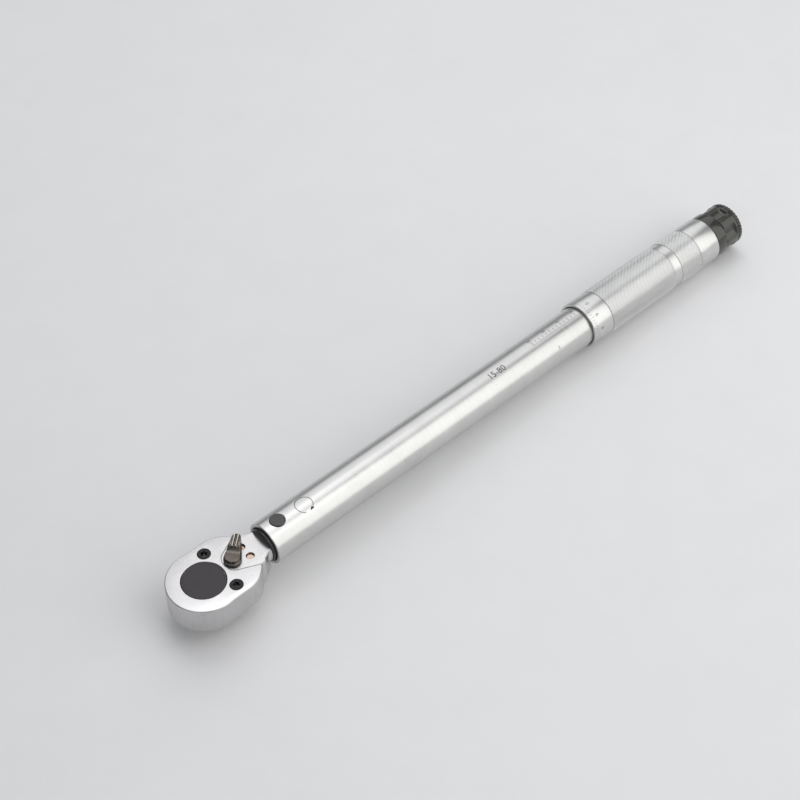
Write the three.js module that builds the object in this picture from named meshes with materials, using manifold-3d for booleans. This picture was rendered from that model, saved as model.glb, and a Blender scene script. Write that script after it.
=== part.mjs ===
// A click-type torque wrench with a reversible ratchet head.
// Millimetres, +Z up. The wrench lies along +X, from its head to its lock knob, with the
// reversing lever on top and the square drive pointing down. The origin is the centre of the
// square drive's end face. Inside the groups, x is measured from the gear's axis and z from
// the tube's axis.
import * as THREE from "three";
import { mergeVertices } from "three/addons/utils/BufferGeometryUtils.js";
import Module from "manifold-3d";

const wasm = await Module();
wasm.setup();

// ---------------------------------------------------------------- driving dimensions

// clearances
const RUNNING = 0.1; // radial gap of a piece that turns or slides
const SEATED = 0.05; // radial gap of a piece that is pressed or screwed in
const FACE_GAP = 0.3; // axial gap between neighbouring faces

// ratchet
const SQUARE_SIDE = 9.53; // 3/8 inch
const SQUARE_LENGTH = 11;
const SQUARE_CHAMFER = 0.7;
const SQUARE_CORNER = 0.9;
const GEAR_RADIUS = 12.4;
const GEAR_TEETH = 36;
const TOOTH_DEPTH = 0.8;
const TOOTH_TIP_SHARE = 0.2; // of the pitch
const GEAR_RIM = 1.8; // from the back disc's edge to the teeth's tips
const GEAR_LEDGE = 3; // from the boss's edge to the teeth's tips
const DISC_BEVEL = 0.3;
const BOSS_RECESS = 0.3; // the boss stops short of the head's underside
const GEAR_POCKET_FLOOR = 3; // metal left under the gear
const GEAR_POCKET_MARGIN = 0.5;
const WASHER_THICKNESS = 0.4;

// head
const HEAD_WALL = 5.1; // from the gear's teeth to the head's rim
const HEAD_THICKNESS = 14.5;
const HEAD_RISE = 4.2; // the head's top face above the tube's axis
const HEAD_BEVEL = 0.6;
const CHEEK = { ahead: 3.5, narrowing: 0.3 }; // where the flank leaves the round front
const SHOULDER = { behind: 8.5, half: 10.4 };
const NECK_STEP = { length: 2.4, narrowing: 0.2, drop: 0.8, slope: 0.6 };
const NECK_LENGTH = 7.6;
const NECK_UNDERCUT = 3; // how far the neck's underside rises to meet the shank
const PLATE_THICKNESS = 2.2;
const PLATE_CORNER = { ahead: 2.1, outside: 1.2 }; // the V edge's corners, from the lever's hub
const PLATE_HUB_GAP = 0.3;
const COVER_SCREW = { angle: 51.3, head: 3.3, shank: 1.5, wall: 0.47, length: 8, cone: 1.6 };
const COVER_SCREW_RIM = { height: 0.3, below: 0.1 }; // the head's straight edge, and its top below the plate
const SCREW_SOCKET = { lobes: 6, wave: 0.14, depth: 1.3 };
const STOP_PIN = { behind: 7.5, half: 3.3, radius: 1.8, room: 0.4, recess: 1, below: 0.7 };
const PIN_CHAMFER = 0.2;

// reversing lever and pawl
const POST_RADIUS = 2.2;
const PAWL_BRIDGE = 1.9; // from the gear's teeth to the post
const LEVER_ANGLE = 40; // degrees from +X at rest; the other stop mirrors it
const LEVER_REACH = 10.4;
const LEVER_HUB = 4.2;
const LEVER_TIP = 2;
const LEVER_LIFT = 0.3;
const LEVER_HEIGHT = 3;
const LEVER_BEVEL = 0.5;
const LEVER_PAD = { from: 4.6, height: 1.8, groove: 0.55, spacing: 0.85, inset: 0.4 };
const PAWL_ROCK = 5.5; // degrees either side of the middle
const PAWL_HORN = { outside: 1.56, outerAngle: 38, inside: 1.2, innerAngle: 40 };
const PAWL_BACK = 1.4; // wall behind the post
const PAWL_RELIEF = { ahead: 8.3, radius: 5 };
const PAWL_TAIL = { reach: 6.9, half: 0.8 };
const PAWL_POCKET = { side: 0.8, back: 4.3, tailHalf: 4.4, tailBack: 8.1, corner: 3 };
const PAWL_TOOTH_GAP = 0.08;
const SELECTOR_BALL = 0.75;
const SELECTOR_SPRING = { radius: 0.45, wire: 0.16, coils: 3 };
const LEVER_CLIP = { width: 1.1, thickness: 0.5, groove: 0.6, room: 1.2 };
const CLIP_MOUTH = 0.8; // half the mouth of an open ring, as a share of its bore

// socket detent in the square
const DETENT_BALL = 1.75;
const DETENT_PROUD = 0.6;
const DETENT_HEIGHT = 5.5; // above the square's end face
const DETENT_DEPTH = 7.3; // depth of its blind hole
const DETENT_SPRING = { radius: 1.15, wire: 0.3, coils: 4 };

// tube and pivot
const TUBE_LENGTH = 255.2;
const TUBE_RADIUS = 10.6;
const TUBE_WALL = 1.6;
const TUBE_CHAMFER = 0.4;
const NECK_GAP = 2.2; // from the head's neck to the tube's mouth
const DUST_RING = { ahead: 1.6, inside: 2.2, room: 0.5, bevel: 0.6 };
const PIVOT_BEHIND_NECK = 10.4;
const PIVOT_RADIUS = 3.75;
const PIVOT_PROUD = 0.4;
const PIVOT_CHAMFER = 0.4;
const PIVOT_WALL = 1.85; // metal either side of the pivot's hole in the shank's tail
const SHANK_ROOM = 1.2; // radial room for the shank to tilt in the tube
const SHANK_BEHIND_PIN = 17;

// click mechanism
const BLOCK_SIDE = 7;
const BLOCK_EASE = 2; // eased upright edges
const BLOCK_BEVEL = 0.3; // bevel round its top and bottom
const BLOCK_GAP = 0.4;
const PLUNGER = { length: 22, groove: 0.6, grooveWidth: 2, front: 4, rear: 6 };
const SPIGOT = { length: 9, room: 0.7, taper: 0.4 };
const SPRING_WIRE = 1.8; // wire radius
const SPRING_ROOM = 0.3;
const SPRING_COILS = 18;

// adjusting train
const HANDLE_TRAVEL = 32.5; // 13 turns of a 2.5 mm thread
const SEAT_LENGTH = 7;
const THRUST_WASHER = { radius: 4.6, thickness: 1.5, room: 0.4 };
const THRUST_BALL = 2.5;
const SCREW_RADIUS = 5;
const SCREW_REACH = 41.4; // how far the screw stands out of its bush towards the spring
const SCREW_NOSE = 1.2;
const SCREW_SOLID = 25; // solid length before the lock rod's bore
const BUSH_LENGTH = 18;
const BUSH_PIN = { radius: 1.5, length: 3.4 };

// handle
const SLEEVE_COVER = 50.7; // how much of the tube the sleeve covers at rest
const SLEEVE_ROOM = 0.25;
const SLEEVE_WALL = 1.55;
const SLEEVE_BAND = 13.5; // length of the graduated band
const SLEEVE_FRONT_KNURL = 46.7;
const SLEEVE_GROOVE = { width: 5, depth: 0.35 };
const SLEEVE_REAR_KNURL = 15;
const SLEEVE_STEP = 0.15; // the bands lie this much below the knurls
const SLEEVE_CHAMFER = 0.5;
const PLUG_LENGTH = 9;
const PLUG_SPARE = 1.5; // travel left when the handle is fully in
const PLUG_PIN = { radius: 1.2, wall: 0.6 };

// lock
const COLLAR = { length: 7, below: 0.5, edge: 0.7 }; // below the sleeve's radius
const COLLAR_NECK_RADIUS = 5.6;
const KNOB = { length: 12.5, below: 1, cap: 2.4, endRoom: 1.5, edge: 0.8, rim: 1.2 };
const KNOB_LOBES = 6;
const KNOB_SCALLOP = { radius: 7.5, depth: 1.5, length: 7.6 };
const KNOB_SERRATION = { teeth: 36, depth: 0.5, width: 0.7, length: 2.2 };
const LOCK_ROD_RADIUS = 2;
const LOCK_ROD_CHAMFER = 0.4;
const KNOB_CLIP = { width: 0.9, thickness: 0.7, groove: 0.8 };

// facets round a full turn
const FINE = 40;
const MEDIUM = 24;
const COARSE = 16;

// ---------------------------------------------------------------- worked-out sizes

const rad = THREE.MathUtils.degToRad;

// heights from the tube's axis
const AXIS_HEIGHT = SQUARE_LENGTH + HEAD_THICKNESS - HEAD_RISE;
const HEAD_TOP = HEAD_RISE;
const HEAD_BOTTOM = HEAD_RISE - HEAD_THICKNESS;
const PLATE_SEAT = HEAD_TOP - PLATE_THICKNESS;
const POCKET_FLOOR = HEAD_BOTTOM + GEAR_POCKET_FLOOR;
const GEAR_BOTTOM = POCKET_FLOOR + WASHER_THICKNESS + 2 * RUNNING;
const GEAR_TOP = PLATE_SEAT - FACE_GAP;
const LEVER_BASE = HEAD_TOP + LEVER_LIFT;
const CLIP_FLOOR = POCKET_FLOOR - LEVER_CLIP.room;
const CLIP_TOP = POCKET_FLOOR - RUNNING;
const STOP_PIN_BOTTOM = POCKET_FLOOR - STOP_PIN.below;
const SELECTOR_HEIGHT = (POCKET_FLOOR + GEAR_TOP) / 2;
const DETENT_Z = HEAD_BOTTOM - SQUARE_LENGTH + DETENT_HEIGHT;
const DETENT_FLOOR = -SQUARE_SIDE / 2 + DETENT_DEPTH;

// radii
const HEAD_RADIUS = GEAR_RADIUS + HEAD_WALL;
const DISC_RADIUS = GEAR_RADIUS - GEAR_RIM;
const BOSS_RADIUS = GEAR_RADIUS - GEAR_LEDGE;
const TUBE_BORE = TUBE_RADIUS - TUBE_WALL;
const SHANK_RADIUS = TUBE_BORE - SHANK_ROOM;
const SHANK_TAIL_HALF = PIVOT_RADIUS + PIVOT_WALL;
const SPRING_RADIUS = TUBE_BORE - SPRING_ROOM - SPRING_WIRE;
const SPIGOT_RADIUS = SPRING_RADIUS - SPRING_WIRE - SPIGOT.room;
const SLEEVE_BORE = TUBE_RADIUS + SLEEVE_ROOM;
const SLEEVE_RADIUS = SLEEVE_BORE + SLEEVE_WALL;
const COLLAR_RADIUS = SLEEVE_RADIUS - COLLAR.below;
const KNOB_RADIUS = SLEEVE_RADIUS - KNOB.below;
const CLIP_RADIUS = COLLAR_NECK_RADIUS + KNOB_CLIP.width;
const ROD_BORE = LOCK_ROD_RADIUS + RUNNING;

// stations along the head
const LEVER_X = GEAR_RADIUS + PAWL_BRIDGE + POST_RADIUS;
const CHEEK_X = LEVER_X - CHEEK.ahead;
const CHEEK_HALF = HEAD_RADIUS - CHEEK.narrowing;
const SHOULDER_X = LEVER_X + SHOULDER.behind;
const NECK_STEP_X = SHOULDER_X + NECK_STEP.length;
const NECK_END_X = SHOULDER_X + NECK_LENGTH;
const NECK_END_HALF = Math.sqrt(SHANK_RADIUS ** 2 - HEAD_RISE ** 2);
const PLATE_CORNER_X = LEVER_X - PLATE_CORNER.ahead;
const PLATE_CORNER_HALF = LEVER_HUB + PLATE_CORNER.outside;
const PLATE_HOLLOW_X = LEVER_X - LEVER_HUB - PLATE_HUB_GAP;
const SCREW_OUT = GEAR_RADIUS + GEAR_POCKET_MARGIN + COVER_SCREW.shank + COVER_SCREW.wall;
const SCREW_X = SCREW_OUT * Math.cos(rad(COVER_SCREW.angle));
const SCREW_HALF = SCREW_OUT * Math.sin(rad(COVER_SCREW.angle));
const STOP_PIN_X = LEVER_X + STOP_PIN.behind;
const PIVOT_X = NECK_END_X + PIVOT_BEHIND_NECK;
const SHANK_END = PIVOT_X + SHANK_BEHIND_PIN;

// stations along the tube, from the head backwards
const TUBE_START = NECK_END_X + NECK_GAP;
const TUBE_END = TUBE_START + TUBE_LENGTH;
const BLOCK_END = SHANK_END + BLOCK_GAP + BLOCK_SIDE;
const PLUNGER_START = BLOCK_END + BLOCK_GAP;
const PLUNGER_END = PLUNGER_START + PLUNGER.length;
const SPRING_START = PLUNGER_END + FACE_GAP;

// stations from the tube's rear end forwards
const BUSH_START = TUBE_END - BUSH_LENGTH;
const BUSH_PIN_X = BUSH_START + BUSH_LENGTH / 2;
const SCREW_START = BUSH_START - SCREW_REACH;
const BALL_X = SCREW_START - RUNNING - THRUST_BALL;
const SEAT_END = BALL_X - THRUST_BALL - RUNNING;
const WASHER_START = SEAT_END - THRUST_WASHER.thickness;
const SEAT_START = SEAT_END - SEAT_LENGTH;
const SPRING_END = SEAT_START - FACE_GAP;

// stations along the handle
const SLEEVE_START = TUBE_END - SLEEVE_COVER;
const SLEEVE_BAND_END = SLEEVE_START + SLEEVE_BAND;
const SLEEVE_GROOVE_START = SLEEVE_BAND_END + SLEEVE_FRONT_KNURL;
const SLEEVE_GROOVE_END = SLEEVE_GROOVE_START + SLEEVE_GROOVE.width;
const SLEEVE_REAR_BAND = SLEEVE_GROOVE_END + SLEEVE_REAR_KNURL;
const PLUG_START = TUBE_END + HANDLE_TRAVEL + PLUG_SPARE;
const PLUG_PIN_X = PLUG_START + PLUG_LENGTH / 2;
const SLEEVE_END = PLUG_START + PLUG_LENGTH;
const COLLAR_END = SLEEVE_END + COLLAR.length;
const KNOB_START = COLLAR_END + FACE_GAP;
const KNOB_END = COLLAR_END + KNOB.length;
const NECK_TIP = KNOB_END - KNOB.cap - KNOB.endRoom;
const CLIP_START = NECK_TIP - KNOB_CLIP.groove - KNOB_CLIP.thickness;

const LONG = 400; // longer than the wrench, for cutters

// ---------------------------------------------------------------- materials

const finish = (color, roughness, metalness) =>
  new THREE.MeshStandardMaterial({ color, roughness, metalness });
const SATIN_CHROME = [0xd6d6d8, 0.32, 1];
const DARK_STEEL = [0x4a474a, 0.4, 1];
const BLACK_OXIDE = [0x1c1b1d, 0.45, 0.8];
const BRONZE_LEVER = [0x3a3230, 0.25, 0.9];
const COPPER_PIN = [0xa9775f, 0.35, 1];
const BRIGHT_STEEL = [0xb9babd, 0.25, 1];
const SPRING_STEEL = [0x6e7176, 0.35, 1];
const BLACK_RUBBER = [0x101012, 0.5, 0];
const DARK_KNOB = [0x33332e, 0.35, 0.3];

// ---------------------------------------------------------------- helpers

/** A closed geometry as a solid that can be cut and joined. */
function solid(geometry) {
  const bare = geometry.index ? geometry.toNonIndexed() : geometry.clone();
  bare.deleteAttribute("normal");
  bare.deleteAttribute("uv");
  const merged = mergeVertices(bare, 1e-4);
  return new wasm.Manifold(
    new wasm.Mesh({
      numProp: 3,
      vertProperties: merged.attributes.position.array,
      triVerts: new Uint32Array(merged.index.array),
    }),
  );
}

/** A solid as a geometry again. */
function geometryOf(manifold) {
  const { vertProperties, triVerts } = manifold.getMesh();
  const geometry = new THREE.BufferGeometry();
  geometry.setAttribute("position", new THREE.BufferAttribute(vertProperties, 3));
  geometry.setIndex(new THREE.BufferAttribute(triVerts, 1));
  geometry.computeVertexNormals();
  return geometry;
}

/** A solid turned about the X axis from a profile of [x, radius] points. */
function turned(profile, facets = FINE) {
  const points = profile.map(([x, r]) => new THREE.Vector2(r, x));
  return solid(new THREE.LatheGeometry(points, facets).rotateZ(-Math.PI / 2));
}

/** A solid turned about the Z axis from a profile of [z, radius] points. */
function turnedUp(profile, facets = FINE) {
  const points = profile.map(([z, r]) => new THREE.Vector2(r, z));
  return solid(new THREE.LatheGeometry(points, facets).rotateX(Math.PI / 2));
}

/** The profile of a rod with its ends chamfered. */
function rodProfile(start, end, radius, chamfer = 0) {
  const profile = [[start, 0]];
  if (chamfer) profile.push([start, radius - chamfer], [start + chamfer, radius]);
  else profile.push([start, radius]);
  if (chamfer) profile.push([end - chamfer, radius], [end, radius - chamfer]);
  else profile.push([end, radius]);
  profile.push([end, 0]);
  return profile;
}

const rod = (start, end, radius, facets, chamfer) =>
  turned(rodProfile(start, end, radius, chamfer), facets);
const post = (start, end, radius, facets, chamfer) =>
  turnedUp(rodProfile(start, end, radius, chamfer), facets);

/** The closed profile of a ring. */
const ringProfile = (start, end, inner, outer) => [
  [start, inner],
  [start, outer],
  [end, outer],
  [end, inner],
  [start, inner],
];

/** A flat outline in X and Y, raised between two heights. */
function prism(shape, bottom, top, curveSegments = 12, bevel = 0) {
  const geometry = new THREE.ExtrudeGeometry(shape, {
    depth: top - bottom - 2 * bevel,
    curveSegments,
    bevelEnabled: bevel > 0,
    bevelThickness: bevel,
    bevelSize: bevel,
    bevelOffset: -bevel,
    bevelSegments: 1,
  });
  return solid(geometry.translate(0, 0, bottom + bevel));
}

/** A box between two corners. */
function block(low, high) {
  const [w, d, h] = high.map((value, i) => value - low[i]);
  const geometry = new THREE.BoxGeometry(w, d, h);
  return solid(geometry.translate(low[0] + w / 2, low[1] + d / 2, low[2] + h / 2));
}

/** An outline through a list of [x, y] points. */
const outline = (points) => new THREE.Shape(points.map(([x, y]) => new THREE.Vector2(x, y)));

/** A coil spring along the X axis. */
function coil(start, end, radius, wire, coils, stepsPerCoil, sides) {
  class Helix extends THREE.Curve {
    getPoint(t, target = new THREE.Vector3()) {
      const angle = t * coils * 2 * Math.PI;
      const x = THREE.MathUtils.lerp(start + wire, end - wire, t);
      return target.set(x, radius * Math.cos(angle), radius * Math.sin(angle));
    }
  }
  const section = new THREE.Shape().absarc(0, 0, wire, 0, 2 * Math.PI);
  const path = new Helix();
  path.arcLengthDivisions = coils * stepsPerCoil * 4;
  return solid(
    new THREE.ExtrudeGeometry(section, {
      steps: coils * stepsPerCoil,
      curveSegments: sides / 2,
      extrudePath: path,
    }),
  );
}

/** Adds a named piece to a group. */
function add(group, name, piece, [color, roughness, metalness]) {
  const mesh = new THREE.Mesh(geometryOf(piece), finish(color, roughness, metalness));
  mesh.name = name;
  group.add(mesh);
  return mesh;
}

// ---------------------------------------------------------------- head

/** The head's plan outline, from the round front to the neck. */
function headOutline() {
  const start = Math.asin(CHEEK_HALF / HEAD_RADIUS);
  const shape = new THREE.Shape();
  shape.absarc(0, 0, HEAD_RADIUS, start, 2 * Math.PI - start);
  const swell = (SHOULDER_X - CHEEK_X) / 2;
  const stepHalf = SHOULDER.half - NECK_STEP.narrowing;
  // the right side from front to back
  const rear = [
    [SHOULDER_X, SHOULDER.half],
    [NECK_STEP_X, stepHalf],
    [NECK_STEP_X + NECK_STEP.slope, stepHalf - NECK_STEP.drop],
    [NECK_END_X, NECK_END_HALF],
  ];
  const leaving = [CHEEK_X + swell, CHEEK_HALF - CHEEK.narrowing];
  const arriving = [SHOULDER_X - swell / 3, SHOULDER.half + swell / 2];
  shape.lineTo(CHEEK_X, -CHEEK_HALF);
  shape.bezierCurveTo(leaving[0], -leaving[1], arriving[0], -arriving[1], SHOULDER_X, -SHOULDER.half);
  for (const [x, half] of rear.slice(1)) shape.lineTo(x, -half);
  for (const [x, half] of rear.toReversed()) shape.lineTo(x, half);
  shape.bezierCurveTo(...arriving, ...leaving, CHEEK_X, CHEEK_HALF);
  return shape;
}

/** The round shank with its flat top, narrowed behind the pivot, and grown by a gap. */
function shank(start, gap) {
  const round = rod(start, SHANK_END, SHANK_RADIUS + gap, FINE);
  const underTop = block([start - 1, -LONG, -LONG], [SHANK_END + 1, LONG, HEAD_TOP + gap]);
  const narrow = PIVOT_X + PIVOT_RADIUS + 1;
  const side = (y) =>
    block([narrow, Math.min(y, y * LONG), -LONG], [LONG, Math.max(y, y * LONG), LONG]);
  return round
    .intersect(underTop)
    .subtract(side(SHANK_TAIL_HALF))
    .subtract(side(-SHANK_TAIL_HALF));
}

/** The whole head before the plate's seat and the pockets are cut. */
function headBlank() {
  const plan = prism(headOutline(), HEAD_BOTTOM, HEAD_TOP, 20, HEAD_BEVEL);
  const under = outline([
    [SHOULDER_X, HEAD_BOTTOM],
    [NECK_END_X + 1, HEAD_BOTTOM + NECK_UNDERCUT],
    [NECK_END_X + 1, HEAD_BOTTOM - 1],
    [SHOULDER_X, HEAD_BOTTOM - 1],
  ]);
  const wedge = new THREE.ExtrudeGeometry(under, { depth: 2 * LONG, bevelEnabled: false });
  return plan.subtract(solid(wedge.translate(0, 0, -LONG).rotateX(Math.PI / 2)));
}

/** Everything in front of the plate's V-shaped rear edge, drawn back by a gap. */
function plateRegion(bottom, gap) {
  const x = PLATE_CORNER_X;
  const half = PLATE_CORNER_HALF;
  const arcX = (x ** 2 + half ** 2 - PLATE_HOLLOW_X ** 2) / (2 * (x - PLATE_HOLLOW_X));
  const arcRadius = arcX - PLATE_HOLLOW_X;
  const bend = Math.atan2(half, x - arcX);
  const slope = (SHOULDER.half - half) / (SHOULDER_X - x);
  const far = SHOULDER_X + NECK_STEP.length;
  const farHalf = half + slope * (far - x);
  const shape = new THREE.Shape();
  shape.moveTo(-LONG, -LONG);
  shape.lineTo(far - gap, -LONG);
  shape.lineTo(far - gap, -farHalf);
  shape.lineTo(x - gap, -half);
  shape.absarc(arcX - gap, 0, arcRadius, 2 * Math.PI - bend, bend, true);
  shape.lineTo(far - gap, farHalf);
  shape.lineTo(far - gap, LONG);
  shape.lineTo(-LONG, LONG);
  return prism(shape, bottom, HEAD_TOP + 1, 10);
}

/** Cuts a pair of the same hole on both sides of the head. */
function cutPair(piece, hole, x, half) {
  return piece
    .subtract(hole.translate([x, half, 0]))
    .subtract(hole.translate([x, -half, 0]));
}

/** A countersunk screw's outline, grown by a gap. */
function screwProfile(gap) {
  const { head, shank: core, length, cone } = COVER_SCREW;
  const { height, below } = COVER_SCREW_RIM;
  const top = gap ? HEAD_TOP + 1 : HEAD_TOP - below;
  return [
    [HEAD_TOP - length - gap, 0],
    [HEAD_TOP - length - gap, core + gap],
    [HEAD_TOP - cone, core + gap],
    [HEAD_TOP - height, head + gap],
    [top, head + gap],
    [top, 0],
  ];
}

/** A point of the pawl's horn, at a distance outside the gear's teeth and an angle round it. */
function pawlHorn(outside, angle) {
  const r = GEAR_RADIUS + outside;
  return { x: r * Math.cos(rad(angle)), y: r * Math.sin(rad(angle)) };
}

function pawlPocket() {
  const { side, tailHalf, corner: round } = PAWL_POCKET;
  const { x: hornX, y: hornHalf } = pawlHorn(PAWL_HORN.outside, PAWL_HORN.outerAngle);
  const front = hornX - GEAR_POCKET_MARGIN - LEVER_HUB / 2;
  const half = hornHalf + side;
  const back = LEVER_X + PAWL_POCKET.back;
  const tailBack = LEVER_X + PAWL_POCKET.tailBack;
  const shape = new THREE.Shape();
  shape.moveTo(front, -half);
  shape.lineTo(back - round, -half);
  shape.absarc(back - round, -half + round, round, -Math.PI / 2, 0);
  shape.lineTo(back, -tailHalf);
  shape.lineTo(tailBack, -tailHalf);
  shape.lineTo(tailBack, tailHalf);
  shape.lineTo(back, tailHalf);
  shape.absarc(back - round, half - round, round, 0, Math.PI / 2);
  shape.lineTo(front, half);
  return prism(shape, POCKET_FLOOR, GEAR_TOP, 6);
}

function headBody() {
  let body = headBlank().add(shank(NECK_STEP_X, 0));
  body = body.subtract(plateRegion(PLATE_SEAT - SEATED, 0));
  body = body.subtract(post(POCKET_FLOOR, PLATE_SEAT, GEAR_RADIUS + GEAR_POCKET_MARGIN, FINE));
  body = body.subtract(post(HEAD_BOTTOM - 1, POCKET_FLOOR + 1, BOSS_RADIUS + RUNNING, FINE));
  body = body.subtract(pawlPocket());
  const postHole = post(POCKET_FLOOR, HEAD_TOP + 1, POST_RADIUS + RUNNING, MEDIUM);
  const clipRadius = POST_RADIUS + LEVER_CLIP.width + FACE_GAP;
  const clipHole = post(CLIP_FLOOR, POCKET_FLOOR + 1, clipRadius, MEDIUM);
  body = body.subtract(postHole.add(clipHole).translate([LEVER_X, 0, 0]));
  const threadFloor = HEAD_TOP - COVER_SCREW.length - 1;
  const threads = post(threadFloor, HEAD_TOP, COVER_SCREW.shank + SEATED, COARSE);
  body = cutPair(body, threads, SCREW_X, SCREW_HALF);
  const pinRoom = STOP_PIN.radius + STOP_PIN.room;
  const pinHole = post(STOP_PIN_BOTTOM - FACE_GAP, HEAD_TOP + 1, pinRoom, COARSE);
  body = cutPair(body, pinHole, STOP_PIN_X, STOP_PIN.half);
  const pivotHole = post(-LONG, LONG, PIVOT_RADIUS + RUNNING, MEDIUM);
  return body.subtract(pivotHole.translate([PIVOT_X, 0, 0]));
}

function coverPlate() {
  const region = plateRegion(PLATE_SEAT, SEATED * 2);
  let plate = headBlank().intersect(region);
  plate = plate.subtract(post(-LONG, LONG, DISC_RADIUS + 2 * RUNNING, FINE));
  const countersink = turnedUp(screwProfile(SEATED), MEDIUM);
  return cutPair(plate, countersink, SCREW_X, SCREW_HALF);
}

/** A screw with a six-lobe socket in its head. */
function coverScrew() {
  const socketRadius = COVER_SCREW.head / 2;
  const { lobes, wave, depth } = SCREW_SOCKET;
  const shape = new THREE.Shape();
  const pointsRound = lobes * 4;
  for (let i = 0; i < pointsRound; i += 1) {
    const angle = (i / pointsRound) * 2 * Math.PI;
    const r = socketRadius * (1 + wave * Math.cos(lobes * angle));
    if (i) shape.lineTo(r * Math.cos(angle), r * Math.sin(angle));
    else shape.moveTo(r, 0);
  }
  const socket = prism(shape, HEAD_TOP - depth, HEAD_TOP + 1, 1);
  return turnedUp(screwProfile(0), MEDIUM).subtract(socket);
}

function stopPin() {
  return post(STOP_PIN_BOTTOM, HEAD_TOP - STOP_PIN.recess, STOP_PIN.radius, COARSE, PIN_CHAMFER);
}

/** The ring that fills the tube's mouth round the shank. */
function dustRing() {
  const start = TUBE_START - DUST_RING.ahead;
  const end = TUBE_START + DUST_RING.inside;
  const radius = TUBE_BORE - DUST_RING.room;
  const ring = turned([
    [start, 0],
    [start, radius - DUST_RING.bevel],
    [start + DUST_RING.bevel, radius],
    [end, radius],
    [end, 0],
  ]);
  return ring.subtract(shank(start - 2, SEATED));
}

// ---------------------------------------------------------------- ratchet

/** The gear's toothed outline, grown by a gap. */
function gearOutline(gap) {
  const shape = new THREE.Shape();
  const pitch = (2 * Math.PI) / GEAR_TEETH;
  const tip = GEAR_RADIUS + gap;
  const root = GEAR_RADIUS - TOOTH_DEPTH + gap;
  for (let i = 0; i < GEAR_TEETH; i += 1) {
    const middle = (i + 0.5) * pitch;
    const corners = [
      [middle - pitch / 2, root],
      [middle - (pitch * TOOTH_TIP_SHARE) / 2, tip],
      [middle + (pitch * TOOTH_TIP_SHARE) / 2, tip],
    ];
    corners.forEach(([angle, r], n) => {
      const x = r * Math.cos(angle);
      const y = r * Math.sin(angle);
      if (i || n) shape.lineTo(x, y);
      else shape.moveTo(x, y);
    });
  }
  return shape;
}

/** The square drive, chamfered at its end. */
function driveSquare(top) {
  const half = SQUARE_SIDE / 2;
  const corner = SQUARE_CORNER;
  const shape = outline([
    [half, -half + corner],
    [half, half - corner],
    [half - corner, half],
    [-half + corner, half],
    [-half, half - corner],
    [-half, -half + corner],
    [-half + corner, -half],
    [half - corner, -half],
  ]);
  const bottom = HEAD_BOTTOM - SQUARE_LENGTH;
  const long = prism(shape, bottom, top + SQUARE_CHAMFER, 1, SQUARE_CHAMFER);
  return long.intersect(block([-LONG, -LONG, -LONG], [LONG, LONG, top]));
}

function driveGear() {
  const ring = prism(gearOutline(0), GEAR_BOTTOM, GEAR_TOP, 1);
  const disc = turnedUp([
    [GEAR_TOP - 1, 0],
    [GEAR_TOP - 1, DISC_RADIUS],
    [HEAD_TOP - DISC_BEVEL, DISC_RADIUS],
    [HEAD_TOP, DISC_RADIUS - DISC_BEVEL],
    [HEAD_TOP, 0],
  ]);
  const boss = post(HEAD_BOTTOM + BOSS_RECESS, GEAR_BOTTOM + 1, BOSS_RADIUS, FINE);
  const detent = detentRod(DETENT_BALL + SEATED, -SQUARE_SIDE, DETENT_FLOOR);
  return ring.add(disc).add(boss).add(driveSquare(HEAD_BOTTOM + 1)).subtract(detent);
}

/** A rod along Y at the detent's height in the square. */
function detentRod(radius, start, end) {
  return rod(start, end, radius, COARSE).rotate([0, 0, 90]).translate([0, 0, DETENT_Z]);
}

function driveBall() {
  const y = -SQUARE_SIDE / 2 - DETENT_PROUD + DETENT_BALL;
  const ball = new THREE.SphereGeometry(DETENT_BALL, COARSE, 10);
  return solid(ball.translate(0, y, DETENT_Z));
}

function driveBallSpring() {
  const start = -SQUARE_SIDE / 2 - DETENT_PROUD + 2 * DETENT_BALL + RUNNING;
  const { radius, wire, coils } = DETENT_SPRING;
  const spring = coil(start, DETENT_FLOOR - RUNNING, radius, wire, coils, 8, 4);
  return spring.rotate([0, 0, 90]).translate([0, 0, DETENT_Z]);
}

function gearWasher() {
  const inner = BOSS_RADIUS + 2 * RUNNING;
  const outer = GEAR_RADIUS;
  const bottom = POCKET_FLOOR + RUNNING;
  return turnedUp(ringProfile(bottom, bottom + WASHER_THICKNESS, inner, outer));
}

// ---------------------------------------------------------------- lever and pawl (at their own axis)

/** A teardrop between the hub's circle and a smaller one further out. */
function teardrop(from, hub, tip, reach) {
  const lean = Math.acos((hub - tip) / reach);
  const shape = new THREE.Shape();
  shape.absarc(from, 0, hub, lean, 2 * Math.PI - lean);
  shape.absarc(from + reach, 0, tip, -lean, lean);
  return shape;
}

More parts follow.
